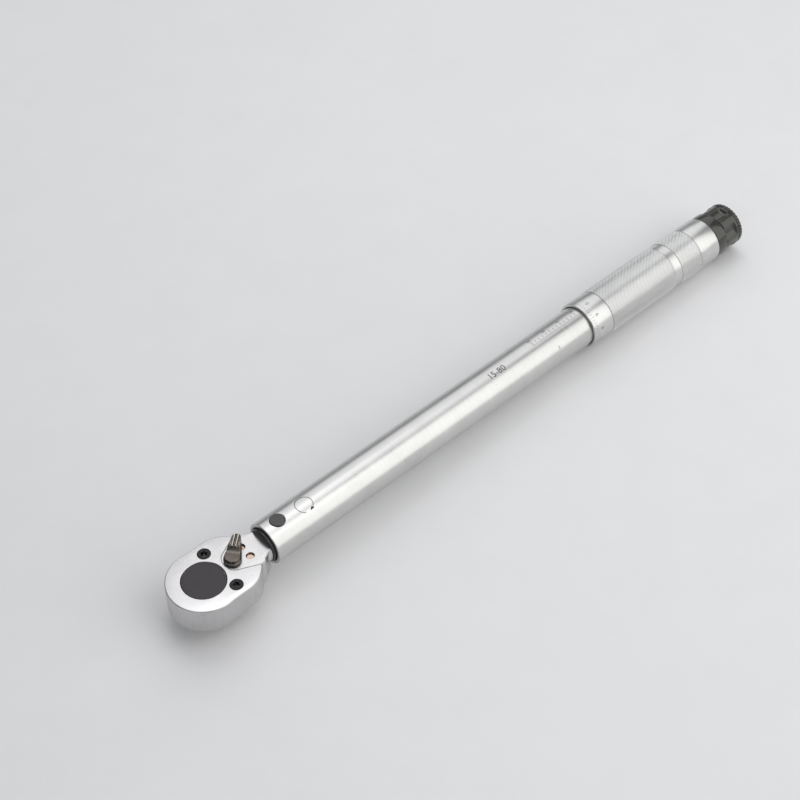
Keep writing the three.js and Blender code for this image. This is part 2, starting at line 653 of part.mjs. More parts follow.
function reversingLever() {
  const top = LEVER_BASE + LEVER_HEIGHT;
  const blade = prism(teardrop(0, LEVER_HUB, LEVER_TIP, LEVER_REACH), LEVER_BASE, top, 12, LEVER_BEVEL);
  const { from, height, groove: slot, spacing, inset } = LEVER_PAD;
  const padReach = LEVER_REACH - from;
  const padHub = LEVER_TIP + (LEVER_HUB - LEVER_TIP) * (1 - from / LEVER_REACH) - inset;
  const padShape = teardrop(from, padHub, LEVER_TIP - inset, padReach);
  let lever = blade.add(prism(padShape, top - 1, top + height, 10, inset));
  for (const y of [-spacing, spacing]) {
    const low = [from - 1, y - slot / 2, top + height / 2];
    lever = lever.subtract(block(low, [LEVER_REACH, y + slot / 2, LONG]));
  }
  const bottom = CLIP_FLOOR + RUNNING;
  lever = lever.add(post(bottom, LEVER_BASE + 1, POST_RADIUS, MEDIUM));
  const groove = ringProfile(
    CLIP_TOP - LEVER_CLIP.thickness - SEATED,
    CLIP_TOP + SEATED,
    POST_RADIUS - LEVER_CLIP.groove,
    POST_RADIUS + LEVER_CLIP.width,
  );
  lever = lever.subtract(turnedUp(groove, MEDIUM));
  return lever.subtract(selectorRod(SELECTOR_BALL + SEATED, -POST_RADIUS - 1, POST_RADIUS / 2));
}

/** A rod along X at the selector's height in the post. */
const selectorRod = (radius, start, end) =>
  rod(start, end, radius, COARSE).translate([0, 0, SELECTOR_HEIGHT]);

function selectorBall() {
  const x = -(POST_RADIUS + RUNNING / 2) + SELECTOR_BALL;
  const ball = new THREE.SphereGeometry(SELECTOR_BALL, COARSE, 8);
  return solid(ball.translate(x, 0, SELECTOR_HEIGHT));
}

function selectorSpring() {
  const start = -(POST_RADIUS + RUNNING / 2) + 2 * SELECTOR_BALL + SEATED;
  const end = POST_RADIUS / 2 - SEATED;
  const { radius, wire, coils } = SELECTOR_SPRING;
  return coil(start, end, radius, wire, coils, 8, 4).translate([0, 0, SELECTOR_HEIGHT]);
}

/** An open ring that snaps into the post's groove. */
function leverClip() {
  const inner = POST_RADIUS - LEVER_CLIP.groove + SEATED;
  const outer = POST_RADIUS + LEVER_CLIP.width;
  const ring = turnedUp(
    ringProfile(CLIP_TOP - LEVER_CLIP.thickness, CLIP_TOP, inner, outer),
    MEDIUM,
  );
  const half = inner * CLIP_MOUTH;
  return ring.subtract(block([0, -half, -LONG], [LONG, half, LONG]));
}

/** The rocking pawl in its middle position, drawn about the post's axis. */
function pawl() {
  const top = GEAR_TOP - FACE_GAP;
  const { reach, half: tailHalf } = PAWL_TAIL;
  const tip = pawlHorn(-PAWL_HORN.inside, PAWL_HORN.innerAngle);
  const horn = pawlHorn(PAWL_HORN.outside, PAWL_HORN.outerAngle);
  const tipX = tip.x - LEVER_X;
  const hornX = horn.x - LEVER_X;
  const backX = POST_RADIUS + PAWL_BACK / 2;
  const bulge = horn.y - 1;
  const shape = new THREE.Shape();
  shape.moveTo(tipX, -tip.y);
  shape.lineTo(hornX, -horn.y);
  shape.quadraticCurveTo(0, -bulge, backX, -POST_RADIUS);
  shape.lineTo(reach - tailHalf, -tailHalf);
  shape.absarc(reach - tailHalf, 0, tailHalf, -Math.PI / 2, Math.PI / 2);
  shape.lineTo(backX, POST_RADIUS);
  shape.quadraticCurveTo(0, bulge, hornX, horn.y);
  shape.lineTo(tipX, tip.y);
  let piece = prism(shape, GEAR_BOTTOM, top, 10);
  piece = piece.subtract(post(-LONG, LONG, POST_RADIUS + 1.5 * RUNNING, MEDIUM));
  const relief = post(-LONG, LONG, PAWL_RELIEF.radius, MEDIUM);
  piece = piece.subtract(relief.translate([-PAWL_RELIEF.ahead, 0, 0]));
  const gear = prism(gearOutline(PAWL_TOOTH_GAP), GEAR_BOTTOM - 1, top + 1, 1);
  const meshing = gear.translate([-LEVER_X, 0, 0]);
  return piece
    .subtract(meshing.rotate([0, 0, PAWL_ROCK]))
    .subtract(meshing.rotate([0, 0, -PAWL_ROCK]));
}

// ---------------------------------------------------------------- tube and click mechanism

function tube() {
  const body = turned([
    [TUBE_START, TUBE_BORE],
    [TUBE_START, TUBE_RADIUS - TUBE_CHAMFER],
    [TUBE_START + TUBE_CHAMFER, TUBE_RADIUS],
    [TUBE_END, TUBE_RADIUS],
    [TUBE_END, TUBE_BORE],
    [TUBE_START, TUBE_BORE],
  ]);
  const pivotHole = post(-LONG, LONG, PIVOT_RADIUS + SEATED, MEDIUM);
  const pinHole = post(-LONG, LONG, BUSH_PIN.radius + SEATED, COARSE);
  return body
    .subtract(pivotHole.translate([PIVOT_X, 0, 0]))
    .subtract(pinHole.translate([BUSH_PIN_X, 0, 0]));
}

function pivotPin() {
  const reach = TUBE_RADIUS + PIVOT_PROUD;
  return post(-reach, reach, PIVOT_RADIUS, MEDIUM, PIVOT_CHAMFER).translate([PIVOT_X, 0, 0]);
}

/** The block that tips between the shank and the plunger, drawn about its rear face. */
function tiltBlock() {
  const half = BLOCK_SIDE / 2;
  const shape = outline([
    [-BLOCK_SIDE, half - BLOCK_EASE],
    [-BLOCK_SIDE, -half + BLOCK_EASE],
    [-BLOCK_SIDE + BLOCK_EASE, -half],
    [-BLOCK_EASE, -half],
    [0, -half + BLOCK_EASE],
    [0, half - BLOCK_EASE],
    [-BLOCK_EASE, half],
    [-BLOCK_SIDE + BLOCK_EASE, half],
  ]);
  return prism(shape, -half, half, 1, BLOCK_BEVEL);
}

function plunger() {
  const radius = TUBE_BORE - RUNNING;
  const { groove, grooveWidth } = PLUNGER;
  const first = PLUNGER_START + PLUNGER.front;
  const second = PLUNGER_END - PLUNGER.rear;
  return turned([
    [PLUNGER_START, 0],
    [PLUNGER_START, radius - groove],
    [PLUNGER_START + groove, radius],
    [first, radius],
    [first, radius - groove],
    [first + grooveWidth, radius - groove],
    [first + grooveWidth, radius],
    [second, radius],
    [second, radius - groove],
    [second + grooveWidth, radius - groove],
    [second + grooveWidth, radius],
    [PLUNGER_END, radius],
    [PLUNGER_END, SPIGOT_RADIUS],
    [PLUNGER_END + SPIGOT.length, SPIGOT_RADIUS - SPIGOT.taper],
    [PLUNGER_END + SPIGOT.length, 0],
  ]);
}

function mainSpring() {
  return coil(SPRING_START, SPRING_END, SPRING_RADIUS, SPRING_WIRE, SPRING_COILS, 10, 6);
}

// ---------------------------------------------------------------- adjusting train

function springSeat() {
  const radius = TUBE_BORE - RUNNING;
  const floor = WASHER_START - RUNNING;
  const cup = THRUST_WASHER.radius + THRUST_WASHER.room;
  return turned([
    [SEAT_START - SPIGOT.length, 0],
    [SEAT_START - SPIGOT.length, SPIGOT_RADIUS - SPIGOT.taper],
    [SEAT_START, SPIGOT_RADIUS],
    [SEAT_START, radius],
    [SEAT_END, radius],
    [SEAT_END, cup],
    [floor, cup],
    [floor, 0],
  ]);
}

const thrustWasher = () =>
  rod(WASHER_START, SEAT_END, THRUST_WASHER.radius, MEDIUM, PIN_CHAMFER);

function thrustBall() {
  const ball = new THREE.SphereGeometry(THRUST_BALL, COARSE, 10);
  return solid(ball.translate(BALL_X, 0, 0));
}

function threadBush() {
  const radius = TUBE_BORE - SEATED;
  const bush = turned(ringProfile(BUSH_START, TUBE_END - FACE_GAP, SCREW_RADIUS + RUNNING, radius));
  const hole = post(-LONG, LONG, BUSH_PIN.radius + SEATED, COARSE);
  return bush.subtract(hole.translate([BUSH_PIN_X, 0, 0]));
}

/** One of the two short pins that hold the bush; side is 1 on top and -1 below. */
function bushPin(side) {
  const outer = TUBE_RADIUS - RUNNING;
  const inner = outer - BUSH_PIN.length;
  const pin = post(inner, outer, BUSH_PIN.radius, COARSE);
  const turn = side > 0 ? 0 : 180;
  return pin.rotate([turn, 0, 0]).translate([BUSH_PIN_X, 0, 0]);
}

/** The hollow adjusting screw, open at the rear for the lock rod. */
function adjustingScrew() {
  const blind = SCREW_START + SCREW_SOLID;
  const end = SLEEVE_END - FACE_GAP;
  const screw = turned(
    [
      [SCREW_START, 0],
      [SCREW_START, SCREW_RADIUS - SCREW_NOSE],
      [SCREW_START + SCREW_NOSE, SCREW_RADIUS],
      [end, SCREW_RADIUS],
      [end, ROD_BORE],
      [blind, ROD_BORE],
      [blind, 0],
    ],
    MEDIUM,
  );
  const inner = -ROD_BORE - PLUG_PIN.wall + RUNNING;
  return screw.subtract(plugPinRod(PLUG_PIN.radius + SEATED, -LONG, inner));
}

// ---------------------------------------------------------------- handle

/** A rod along Y through the plug. */
const plugPinRod = (radius, start, end) =>
  rod(start, end, radius, COARSE).rotate([0, 0, 90]).translate([PLUG_PIN_X, 0, 0]);

function handleSleeve() {
  const band = SLEEVE_RADIUS - SLEEVE_STEP;
  const { depth } = SLEEVE_GROOVE;
  return turned([
    [SLEEVE_START, SLEEVE_BORE],
    [SLEEVE_START, band - SLEEVE_CHAMFER],
    [SLEEVE_START + SLEEVE_CHAMFER, band],
    [SLEEVE_BAND_END, band],
    [SLEEVE_BAND_END + SLEEVE_STEP, SLEEVE_RADIUS],
    [SLEEVE_GROOVE_START - depth, SLEEVE_RADIUS],
    [SLEEVE_GROOVE_START, SLEEVE_RADIUS - depth],
    [SLEEVE_GROOVE_END, SLEEVE_RADIUS - depth],
    [SLEEVE_GROOVE_END + depth, SLEEVE_RADIUS],
    [SLEEVE_REAR_BAND - SLEEVE_STEP, SLEEVE_RADIUS],
    [SLEEVE_REAR_BAND, band],
    [SLEEVE_END - SLEEVE_CHAMFER, band],
    [SLEEVE_END, band - SLEEVE_CHAMFER],
    [SLEEVE_END, SLEEVE_BORE],
    [SLEEVE_START, SLEEVE_BORE],
  ]);
}

function handlePlug() {
  const radius = SLEEVE_BORE - SEATED;
  const end = SLEEVE_END - FACE_GAP;
  const plug = turned(ringProfile(PLUG_START, end, SCREW_RADIUS + SEATED, radius));
  return plug.subtract(plugPinRod(PLUG_PIN.radius + SEATED, -LONG, 0));
}

const plugPin = () =>
  plugPinRod(PLUG_PIN.radius, -SLEEVE_BORE + RUNNING, -ROD_BORE - PLUG_PIN.wall);

// ---------------------------------------------------------------- lock

/** The dark collar with a hollow neck that the knob turns on. */
function lockCollar() {
  const start = SLEEVE_END + FACE_GAP;
  const { edge } = COLLAR;
  const grooveStart = CLIP_START - SEATED;
  const grooveEnd = CLIP_START + KNOB_CLIP.thickness + SEATED;
  const grooveRadius = COLLAR_NECK_RADIUS - KNOB_CLIP.groove;
  return turned([
    [start, ROD_BORE],
    [start, COLLAR_RADIUS - edge],
    [start + edge, COLLAR_RADIUS],
    [COLLAR_END - 2 * edge, COLLAR_RADIUS],
    [COLLAR_END, COLLAR_RADIUS - 2 * edge],
    [COLLAR_END, COLLAR_NECK_RADIUS],
    [grooveStart, COLLAR_NECK_RADIUS],
    [grooveStart, grooveRadius],
    [grooveEnd, grooveRadius],
    [grooveEnd, COLLAR_NECK_RADIUS],
    [NECK_TIP, COLLAR_NECK_RADIUS],
    [NECK_TIP, ROD_BORE],
    [start, ROD_BORE],
  ]);
}

/** The lobed knob: a cup over the collar's neck, with a serrated end rim. */
function lockKnob() {
  const capInside = KNOB_END - KNOB.cap;
  const bore = COLLAR_NECK_RADIUS + RUNNING;
  const clipRoom = CLIP_RADIUS + FACE_GAP;
  let knob = turned([
    [KNOB_START, bore],
    [KNOB_START, KNOB_RADIUS - KNOB.edge],
    [KNOB_START + KNOB.edge, KNOB_RADIUS],
    [KNOB_END - KNOB.rim, KNOB_RADIUS],
    [KNOB_END, KNOB_RADIUS - KNOB.rim],
    [KNOB_END, 0],
    [capInside, 0],
    [capInside, clipRoom],
    [CLIP_START - RUNNING, clipRoom],
    [CLIP_START - RUNNING, bore],
    [KNOB_START, bore],
  ]);
  const { radius, depth, length } = KNOB_SCALLOP;
  const scallop = rod(KNOB_START - 1, KNOB_START + length, radius, FINE, 1);
  const away = KNOB_RADIUS - depth + radius;
  for (let i = 0; i < KNOB_LOBES; i += 1) {
    const angle = ((i + 0.5) / KNOB_LOBES) * 2 * Math.PI;
    const side = scallop.translate([0, away * Math.cos(angle), away * Math.sin(angle)]);
    knob = knob.subtract(side);
  }
  return serrated(knob);
}

/** Cuts the fine notches round the knob's end rim. */
function serrated(knob) {
  const { teeth, depth, width, length } = KNOB_SERRATION;
  const notch = block(
    [KNOB_END - length, -width / 2, KNOB_RADIUS - depth],
    [KNOB_END + 1, width / 2, KNOB_RADIUS + 1],
  );
  for (let i = 0; i < teeth; i += 1) knob = knob.subtract(notch.rotate([(i * 360) / teeth, 0, 0]));
  return knob;
}

/** An open ring that snaps into the groove of the collar's neck. */
function knobClip() {
  const inner = COLLAR_NECK_RADIUS - KNOB_CLIP.groove + SEATED;
  const end = CLIP_START + KNOB_CLIP.thickness;
  const ring = turned(ringProfile(CLIP_START, end, inner, CLIP_RADIUS));
  const half = inner * CLIP_MOUTH;
  return ring.subtract(block([-LONG, -half, 0], [LONG, half, LONG]));
}

/** The rod that runs forward through the collar into the hollow screw. */
const lockRod = () => rod(BUSH_START, NECK_TIP, LOCK_ROD_RADIUS, COARSE, LOCK_ROD_CHAMFER);

// ---------------------------------------------------------------- assembly

const wrench = new THREE.Group();
wrench.position.z = AXIS_HEIGHT;

const head = new THREE.Group();
wrench.add(head);
add(head, "head_body", headBody(), SATIN_CHROME);
add(head, "cover_plate", coverPlate(), SATIN_CHROME);
add(head, "dust_ring", dustRing(), BLACK_RUBBER);
add(head, "gear_washer", gearWasher(), SPRING_STEEL);
for (const [side, y] of Object.entries({ left: 1, right: -1 })) {
  const screw = add(head, `cover_screw_${side}`, coverScrew(), BLACK_OXIDE);
  screw.position.set(SCREW_X, y * SCREW_HALF, 0);
  const pin = add(head, `stop_pin_${side}`, stopPin(), COPPER_PIN);
  pin.position.set(STOP_PIN_X, y * STOP_PIN.half, 0);
}

const drive = new THREE.Group();
head.add(drive);
add(drive, "drive_gear", driveGear(), DARK_STEEL);
add(drive, "drive_ball", driveBall(), BRIGHT_STEEL);
add(drive, "drive_ball_spring", driveBallSpring(), SPRING_STEEL);

const lever = new THREE.Group();
lever.position.x = LEVER_X;
lever.rotation.z = rad(LEVER_ANGLE);
head.add(lever);
add(lever, "reversing_lever", reversingLever(), BRONZE_LEVER);
add(lever, "lever_clip", leverClip(), SPRING_STEEL);
add(lever, "selector_ball", selectorBall(), BRIGHT_STEEL);
add(lever, "selector_spring", selectorSpring(), SPRING_STEEL);

const rocker = new THREE.Group();
rocker.position.x = LEVER_X;
rocker.rotation.z = rad(PAWL_ROCK);
head.add(rocker);
add(rocker, "pawl", pawl(), DARK_STEEL);

const barrel = new THREE.Group();
wrench.add(barrel);
add(barrel, "tube", tube(), SATIN_CHROME);
add(barrel, "pivot_pin", pivotPin(), DARK_STEEL);
add(barrel, "thread_bush", threadBush(), BRIGHT_STEEL);
add(barrel, "bush_pin_top", bushPin(1), SPRING_STEEL);
add(barrel, "bush_pin_bottom", bushPin(-1), SPRING_STEEL);
add(barrel, "plunger", plunger(), BRIGHT_STEEL);
add(barrel, "main_spring", mainSpring(), SPRING_STEEL);
add(barrel, "spring_seat", springSeat(), BRIGHT_STEEL);
add(barrel, "thrust_washer", thrustWasher(), DARK_STEEL);
add(barrel, "thrust_ball", thrustBall(), BRIGHT_STEEL);
add(barrel, "tilt_block", tiltBlock(), DARK_STEEL).position.x = BLOCK_END;

const handle = new THREE.Group();
wrench.add(handle);
add(handle, "handle_sleeve", handleSleeve(), SATIN_CHROME);
add(handle, "handle_plug", handlePlug(), BRIGHT_STEEL);
add(handle, "plug_pin", plugPin(), SPRING_STEEL);
add(handle, "adjusting_screw", adjustingScrew(), BRIGHT_STEEL);
add(handle, "lock_collar", lockCollar(), DARK_KNOB);
add(handle, "lock_knob", lockKnob(), DARK_KNOB);
add(handle, "knob_clip", knobClip(), SPRING_STEEL);
add(handle, "lock_rod", lockRod(), DARK_STEEL);

export default wrench;
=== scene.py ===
# %% [markdown]
# # A click torque wrench, built as a lesson
# The wrench has a round ratchet head, a straight plated tube, a knurled handle that
# turns like a micrometer, and a dark lobed knob that locks the setting. This lesson
# dresses the exact parts of the frame with fine shapes and procedural finishes.
# Lengths are written in millimetres along the wrench, with x from the gear's centre,
# y to the left and z from the tube's axis, and turned into metres in one place.

import math

import bmesh
import bpy
import numpy as np
from mathutils import Matrix, Vector


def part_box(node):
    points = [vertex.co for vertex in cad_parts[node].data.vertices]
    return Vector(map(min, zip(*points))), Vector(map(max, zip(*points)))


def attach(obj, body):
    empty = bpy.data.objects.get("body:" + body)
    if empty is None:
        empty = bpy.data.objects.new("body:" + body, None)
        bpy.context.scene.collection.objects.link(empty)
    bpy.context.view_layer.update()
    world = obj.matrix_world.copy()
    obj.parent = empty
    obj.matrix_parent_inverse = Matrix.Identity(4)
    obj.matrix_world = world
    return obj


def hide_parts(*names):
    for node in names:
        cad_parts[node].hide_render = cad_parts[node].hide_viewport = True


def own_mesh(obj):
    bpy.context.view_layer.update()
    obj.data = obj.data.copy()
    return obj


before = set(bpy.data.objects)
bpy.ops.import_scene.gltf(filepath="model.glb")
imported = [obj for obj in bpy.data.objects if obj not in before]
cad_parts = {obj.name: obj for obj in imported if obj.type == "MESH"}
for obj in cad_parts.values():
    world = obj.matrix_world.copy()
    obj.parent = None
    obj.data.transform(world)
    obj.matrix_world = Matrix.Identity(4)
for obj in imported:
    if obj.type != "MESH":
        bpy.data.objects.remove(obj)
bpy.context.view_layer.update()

# %% [markdown]
# ## The camera
# The camera looks down on the wrench from beyond its head, a little to its right, with a
# longish lens. It comes first so that every later choice can be judged from it. Its
# direction is built from a view vector and a small roll rather than from Euler angles,
# because a vector is easier to read.

# %% Camera
MM = 0.001
AXIS_Z = 21.3  # height of the tube's axis above the square drive's end

CAMERA_PLACE = Vector((-0.2727, -0.4319, 0.6973))
CAMERA_LOOK = Vector((0.4514, 0.4986, -0.7400)).normalized()
CAMERA_ROLL = math.radians(-0.4)
CAMERA_LENS = 84.7


def make_camera():
    data = bpy.data.cameras.new("studio_camera")
    data.sensor_width = 36
    data.lens = CAMERA_LENS
    data.clip_start = 0.01
    camera = bpy.data.objects.new("studio_camera", data)
    bpy.context.scene.collection.objects.link(camera)
    right = CAMERA_LOOK.cross(Vector((0, 0, 1))).normalized()
    up = right.cross(CAMERA_LOOK)
    turn = Matrix((right, up, -CAMERA_LOOK)).transposed().to_4x4()
    camera.matrix_world = (
        Matrix.Translation(CAMERA_PLACE) @ turn @ Matrix.Rotation(CAMERA_ROLL, 4, "Z")
    )
    bpy.context.scene.camera = camera
    return camera


camera = make_camera()
print("camera", [round(v, 3) for v in camera.location], "lens", CAMERA_LENS)

# %% [markdown]
# ## The floor and the lights
# The wrench rests on its square drive and on the handle, so the floor under it slopes
# by about a degree and a half in the wrench's own axes. Plated metal shows whatever is
# around it: a pale floor, broad soft lights and a dimmer room keep the tube's crown
# bright and let its flanks fall to grey, which is what makes it look round. The plain
# Standard view keeps the metal's contrast.

# %% Floor and lights
FLOOR_PIVOT_X = 4.76  # the square's rear edge touches the floor here
FLOOR_SLOPE = 0.02716


def make_floor(half=3.0):
    rise = FLOOR_SLOPE * half
    base = -FLOOR_SLOPE * FLOOR_PIVOT_X * MM
    corners = [
        (-half, -half, base - rise),
        (half, -half, base + rise),
        (half, half, base + rise),
        (-half, half, base - rise),
    ]
    mesh = bpy.data.meshes.new("studio_floor")
    mesh.from_pydata(corners, [], [(0, 1, 2, 3)])
    floor = bpy.data.objects.new("studio_floor", mesh)
    bpy.context.scene.collection.objects.link(floor)
    return floor


def area_light(name, place, aim, size, power, colour=(1, 1, 1)):
    data = bpy.data.lights.new(name, "AREA")
    data.shape = "RECTANGLE"
    data.size, data.size_y = size
    data.energy = power
    data.color = colour
    light = bpy.data.objects.new(name, data)
    bpy.context.scene.collection.objects.link(light)
    light.location = place
    away = Vector(aim) - Vector(place)
    light.rotation_euler = away.to_track_quat("-Z", "Y").to_euler()
    return light


def make_world(strength, colour=(0.93, 0.96, 1.0)):
    world = bpy.data.worlds.new("studio_room")
    world.use_nodes = True
    background = world.node_tree.nodes["Background"]
    background.inputs["Color"].default_value = (*colour, 1)
    background.inputs["Strength"].default_value = strength
    bpy.context.scene.world = world


floor = make_floor()
ROOM_STRENGTH = 0.27
make_world(ROOM_STRENGTH)
bpy.context.scene.view_settings.view_transform = "Standard"
MIDDLE = (0.16, 0.0, 0.02)
area_light("soft_side", (0.64, -0.90, 0.74), MIDDLE, (1.5, 1.5), 9.6, (1.0, 0.99, 0.965))
area_light("soft_over_face", (0.58, 0.60, 0.92), (0.05, 0.0, 0.02), (1.25, 1.25), 4.4)
area_light("soft_top", (0.30, -0.02, 1.35), MIDDLE, (1.5, 0.6), 3.7)
area_light("soft_front", (-0.9, -0.5, 0.9), MIDDLE, (0.8, 0.8), 1.5, (1.0, 0.98, 0.95))

# %% [markdown]
# ## Finishes
# Every finish is a small node tree on the shader Blender calls Principled. Three things
# make metal believable: a grain that stretches in one direction, cloudy changes in how
# sharp the reflection is, and edges that are a little brighter where plating thins or
# black wears away; on the lever and the knob the brighter edges are also a painted
# highlight, and the lever's ridge tops and the knurl's groove bottoms get a painted
# highlight and painted shade. All patterns read object coordinates, in metres, so a
# scale of 1000 means one feature per millimetre.


# %% A helper for node trees
def add_node(tree, kind, **settings):
    node = tree.nodes.new(kind)
    for key, value in settings.items():
        if key in node.inputs:
            node.inputs[key].default_value = value
        else:
            setattr(node, key, value)
    return node


def ramp(tree, source, stops):
    node = add_node(tree, "ShaderNodeValToRGB")
    while len(node.color_ramp.elements) < len(stops):
        node.color_ramp.elements.new(0.5)
    for element, (place, colour) in zip(node.color_ramp.elements, stops):
        element.position = place
        element.color = (*colour, 1) if isinstance(colour, tuple) else (colour,) * 3 + (1,)
    tree.links.new(source, node.inputs["Fac"])
    return node.outputs["Color"]


def stretched_noise(tree, coordinates, scale, detail=3.0, rough=0.6):
    """Noise squeezed by a scale of its own along each axis, in features per metre."""
    mapping = add_node(tree, "ShaderNodeMapping")
    mapping.inputs["Scale"].default_value = scale
    tree.links.new(coordinates, mapping.inputs["Vector"])
    noise = add_node(tree, "ShaderNodeTexNoise", Scale=1.0, Detail=detail, Roughness=rough)
    tree.links.new(mapping.outputs["Vector"], noise.inputs["Vector"])
    return noise.outputs["Fac"]


def mixed(tree, share, under, over):
    """Mixes two colours by a share. Each is a socket or a plain tone."""
    mix = add_node(tree, "ShaderNodeMix", data_type="RGBA")
    tree.links.new(share, mix.inputs[0])
    for slot, colour in ((6, under), (7, over)):
        if isinstance(colour, tuple):
            mix.inputs[slot].default_value = (*colour, 1)
        else:
            tree.links.new(colour, mix.inputs[slot])
    return mix.outputs[2]


def product(tree, a, b):
    node = add_node(tree, "ShaderNodeMath", operation="MULTIPLY")
    tree.links.new(a, node.inputs[0])
    if isinstance(b, float):
        node.inputs[1].default_value = b
    else:
        tree.links.new(b, node.inputs[1])
    return node.outputs[0]


def finish(
    name,
    tones,
    shine,
    grain=(900, 60, 60),
    grain_depth=0.000002,
    cloud=60,
    metallic=1.0,
    edge=None,
    coat=0.0,
    speckle=None,
):
    """A finish from dark and light tones, smooth and rough shine, and a directed grain."""
    material = bpy.data.materials.new(name)
    material.use_nodes = True
    tree = material.node_tree
    shader = tree.nodes["Principled BSDF"]
    shader.inputs["Metallic"].default_value = metallic
    shader.inputs["Coat Weight"].default_value = coat
    shader.inputs["Coat Roughness"].default_value = 0.12
    coordinates = add_node(tree, "ShaderNodeTexCoord").outputs["Object"]
    fine = stretched_noise(tree, coordinates, grain, 4.0)
    cloudy = stretched_noise(tree, coordinates, (cloud,) * 3, 3.0)
    both = add_node(tree, "ShaderNodeMix", data_type="FLOAT")
    both.inputs[0].default_value = 0.45
    tree.links.new(cloudy, both.inputs[2])
    tree.links.new(fine, both.inputs[3])
    colour = ramp(tree, both.outputs[0], [(0.3, tones[0]), (0.7, tones[1])])
    if speckle:
        colour = speckled(tree, coordinates, colour, *speckle)
    if edge:
        colour = worn_edges(tree, coordinates, colour, *edge)
    tree.links.new(colour, shader.inputs["Base Color"])
    low, high = shine
    rough = ramp(tree, both.outputs[0], [(0.25, low), (0.75, high)])
    tree.links.new(rough, shader.inputs["Roughness"])
    bump = add_node(tree, "ShaderNodeBump", Strength=1.0, Distance=grain_depth)
    tree.links.new(fine, bump.inputs["Height"])
    tree.links.new(bump.outputs["Normal"], shader.inputs["Normal"])
    return material


def speckled(tree, coordinates, colour, scale, share, tone):
    """Small handling marks: thresholded noise mixed over the finish."""
    spots = stretched_noise(tree, coordinates, (scale,) * 3, 2.0)
    mask = ramp(tree, spots, [(1 - share, 0.0), (min(1 - share + 0.06, 1), 1.0)])
    return mixed(tree, mask, colour, tone)


def worn_edges(tree, coordinates, colour, tone, amount):
    """Brighter convex edges, broken up unevenly: edge wear on most finishes, a painted
    highlight on the lever and the knob.
    """
    pointed = add_node(tree, "ShaderNodeNewGeometry").outputs["Pointiness"]
    convex = ramp(tree, pointed, [(0.52, 0.0), (0.60, 1.0)])
    noise = stretched_noise(tree, coordinates, (900,) * 3)
    patchy = ramp(tree, noise, [(0.35, 0.3), (0.65, 1.0)])
    wear_and_glint = product(tree, product(tree, convex, patchy), amount)
    return mixed(tree, wear_and_glint, colour, tone)


def darkened_grooves(material, centre_height, low, high, shade):
    """Painted shade at the bottom of a turned pattern: darker below one radius than at
    another.
    """
    tree = material.node_tree
    shader = tree.nodes["Principled BSDF"]
    colour = shader.inputs["Base Color"].links[0].from_socket
    coordinates = add_node(tree, "ShaderNodeTexCoord").outputs["Object"]
    moved = add_node(tree, "ShaderNodeVectorMath", operation="MULTIPLY_ADD")
    moved.inputs[1].default_value = (0, 1, 1)
    moved.inputs[2].default_value = (0, 0, -centre_height)
    tree.links.new(coordinates, moved.inputs[0])
    radius = add_node(tree, "ShaderNodeVectorMath", operation="LENGTH")
    tree.links.new(moved.outputs["Vector"], radius.inputs[0])
    reach = add_node(tree, "ShaderNodeMapRange", **{"From Min": low, "From Max": high})
    tree.links.new(radius.outputs["Value"], reach.inputs["Value"])
    groove_shaded = mixed(tree, reach.outputs["Result"], shade, colour)
    tree.links.new(groove_shaded, shader.inputs["Base Color"])


def rubbed_tops(material, low, high, tone):
    """Painted highlight on raised tops: brighter above one height, in patches."""
    tree = material.node_tree
    shader = tree.nodes["Principled BSDF"]
    colour = shader.inputs["Base Color"].links[0].from_socket
    coordinates = add_node(tree, "ShaderNodeTexCoord").outputs["Object"]
    parts = add_node(tree, "ShaderNodeSeparateXYZ")
    tree.links.new(coordinates, parts.inputs[0])
    reach = add_node(tree, "ShaderNodeMapRange", **{"From Min": low, "From Max": high})
    tree.links.new(parts.outputs["Z"], reach.inputs["Value"])
    noise = stretched_noise(tree, coordinates, (700,) * 3)
    patches = ramp(tree, noise, [(0.3, 0.55), (0.6, 1.0)])
    ridge_highlight = mixed(tree, product(tree, reach.outputs["Result"], patches), colour, tone)
    tree.links.new(ridge_highlight, shader.inputs["Base Color"])


# %% [markdown]
# The tube and handle are satin chrome: plated over a turned surface, so their grain
# runs round the tube and changes quickly along it. The head is plated over a ground
# forging, with a finer, cloudier satin. The disc in the head is a dark phosphate, the
# screws are black oxide and the lever is a glossy bronze-black plating.

# %% Make the finishes
TURNED = (2600, 90, 90)  # rings round the tube
SATIN_TUBE = finish(
    "satin_tube",
    ((0.55, 0.55, 0.54), (0.66, 0.66, 0.65)),
    (0.25, 0.36),
    grain=TURNED,
    speckle=(420, 0.27, (0.50, 0.49, 0.47)),
)
SATIN_HEAD = finish(
    "satin_head",
    ((0.535, 0.525, 0.53), (0.63, 0.62, 0.625)),
    (0.24, 0.36),
    grain=(700, 700, 90),
    grain_depth=0.0000012,
    cloud=90,
    speckle=(300, 0.27, (0.52, 0.48, 0.44)),
)
SATIN_HANDLE = finish(
    "satin_handle",
    ((0.57, 0.57, 0.56), (0.69, 0.69, 0.68)),
    (0.24, 0.34),
    grain=TURNED,
)
KNURL_FINISH = finish(
    "satin_knurl",
    ((0.84, 0.84, 0.835), (0.93, 0.93, 0.925)),
    (0.26, 0.36),
    grain=(1500, 1500, 1500),
    grain_depth=0.0000015,
    edge=((0.86, 0.86, 0.85), 0.7),
)
KNURL_SHADED_R, KNURL_UNSHADED_R = 0.01210, 0.01230  # radii from the axis, in metres
# Painted shade in the knurl's groove bottoms: darker below the first radius than at the
# second.
darkened_grooves(
    KNURL_FINISH, AXIS_Z * MM, KNURL_SHADED_R, KNURL_UNSHADED_R, (0.34, 0.34, 0.335)
)
DARK_DISC = finish(
    "dark_phosphate",
    ((0.048, 0.043, 0.047), (0.062, 0.056, 0.060)),
    (0.42, 0.52),
    grain=(900, 900, 900),
    grain_depth=0.000002,
    cloud=160,
    metallic=0.6,
    edge=((0.30, 0.29, 0.29), 0.6),
)
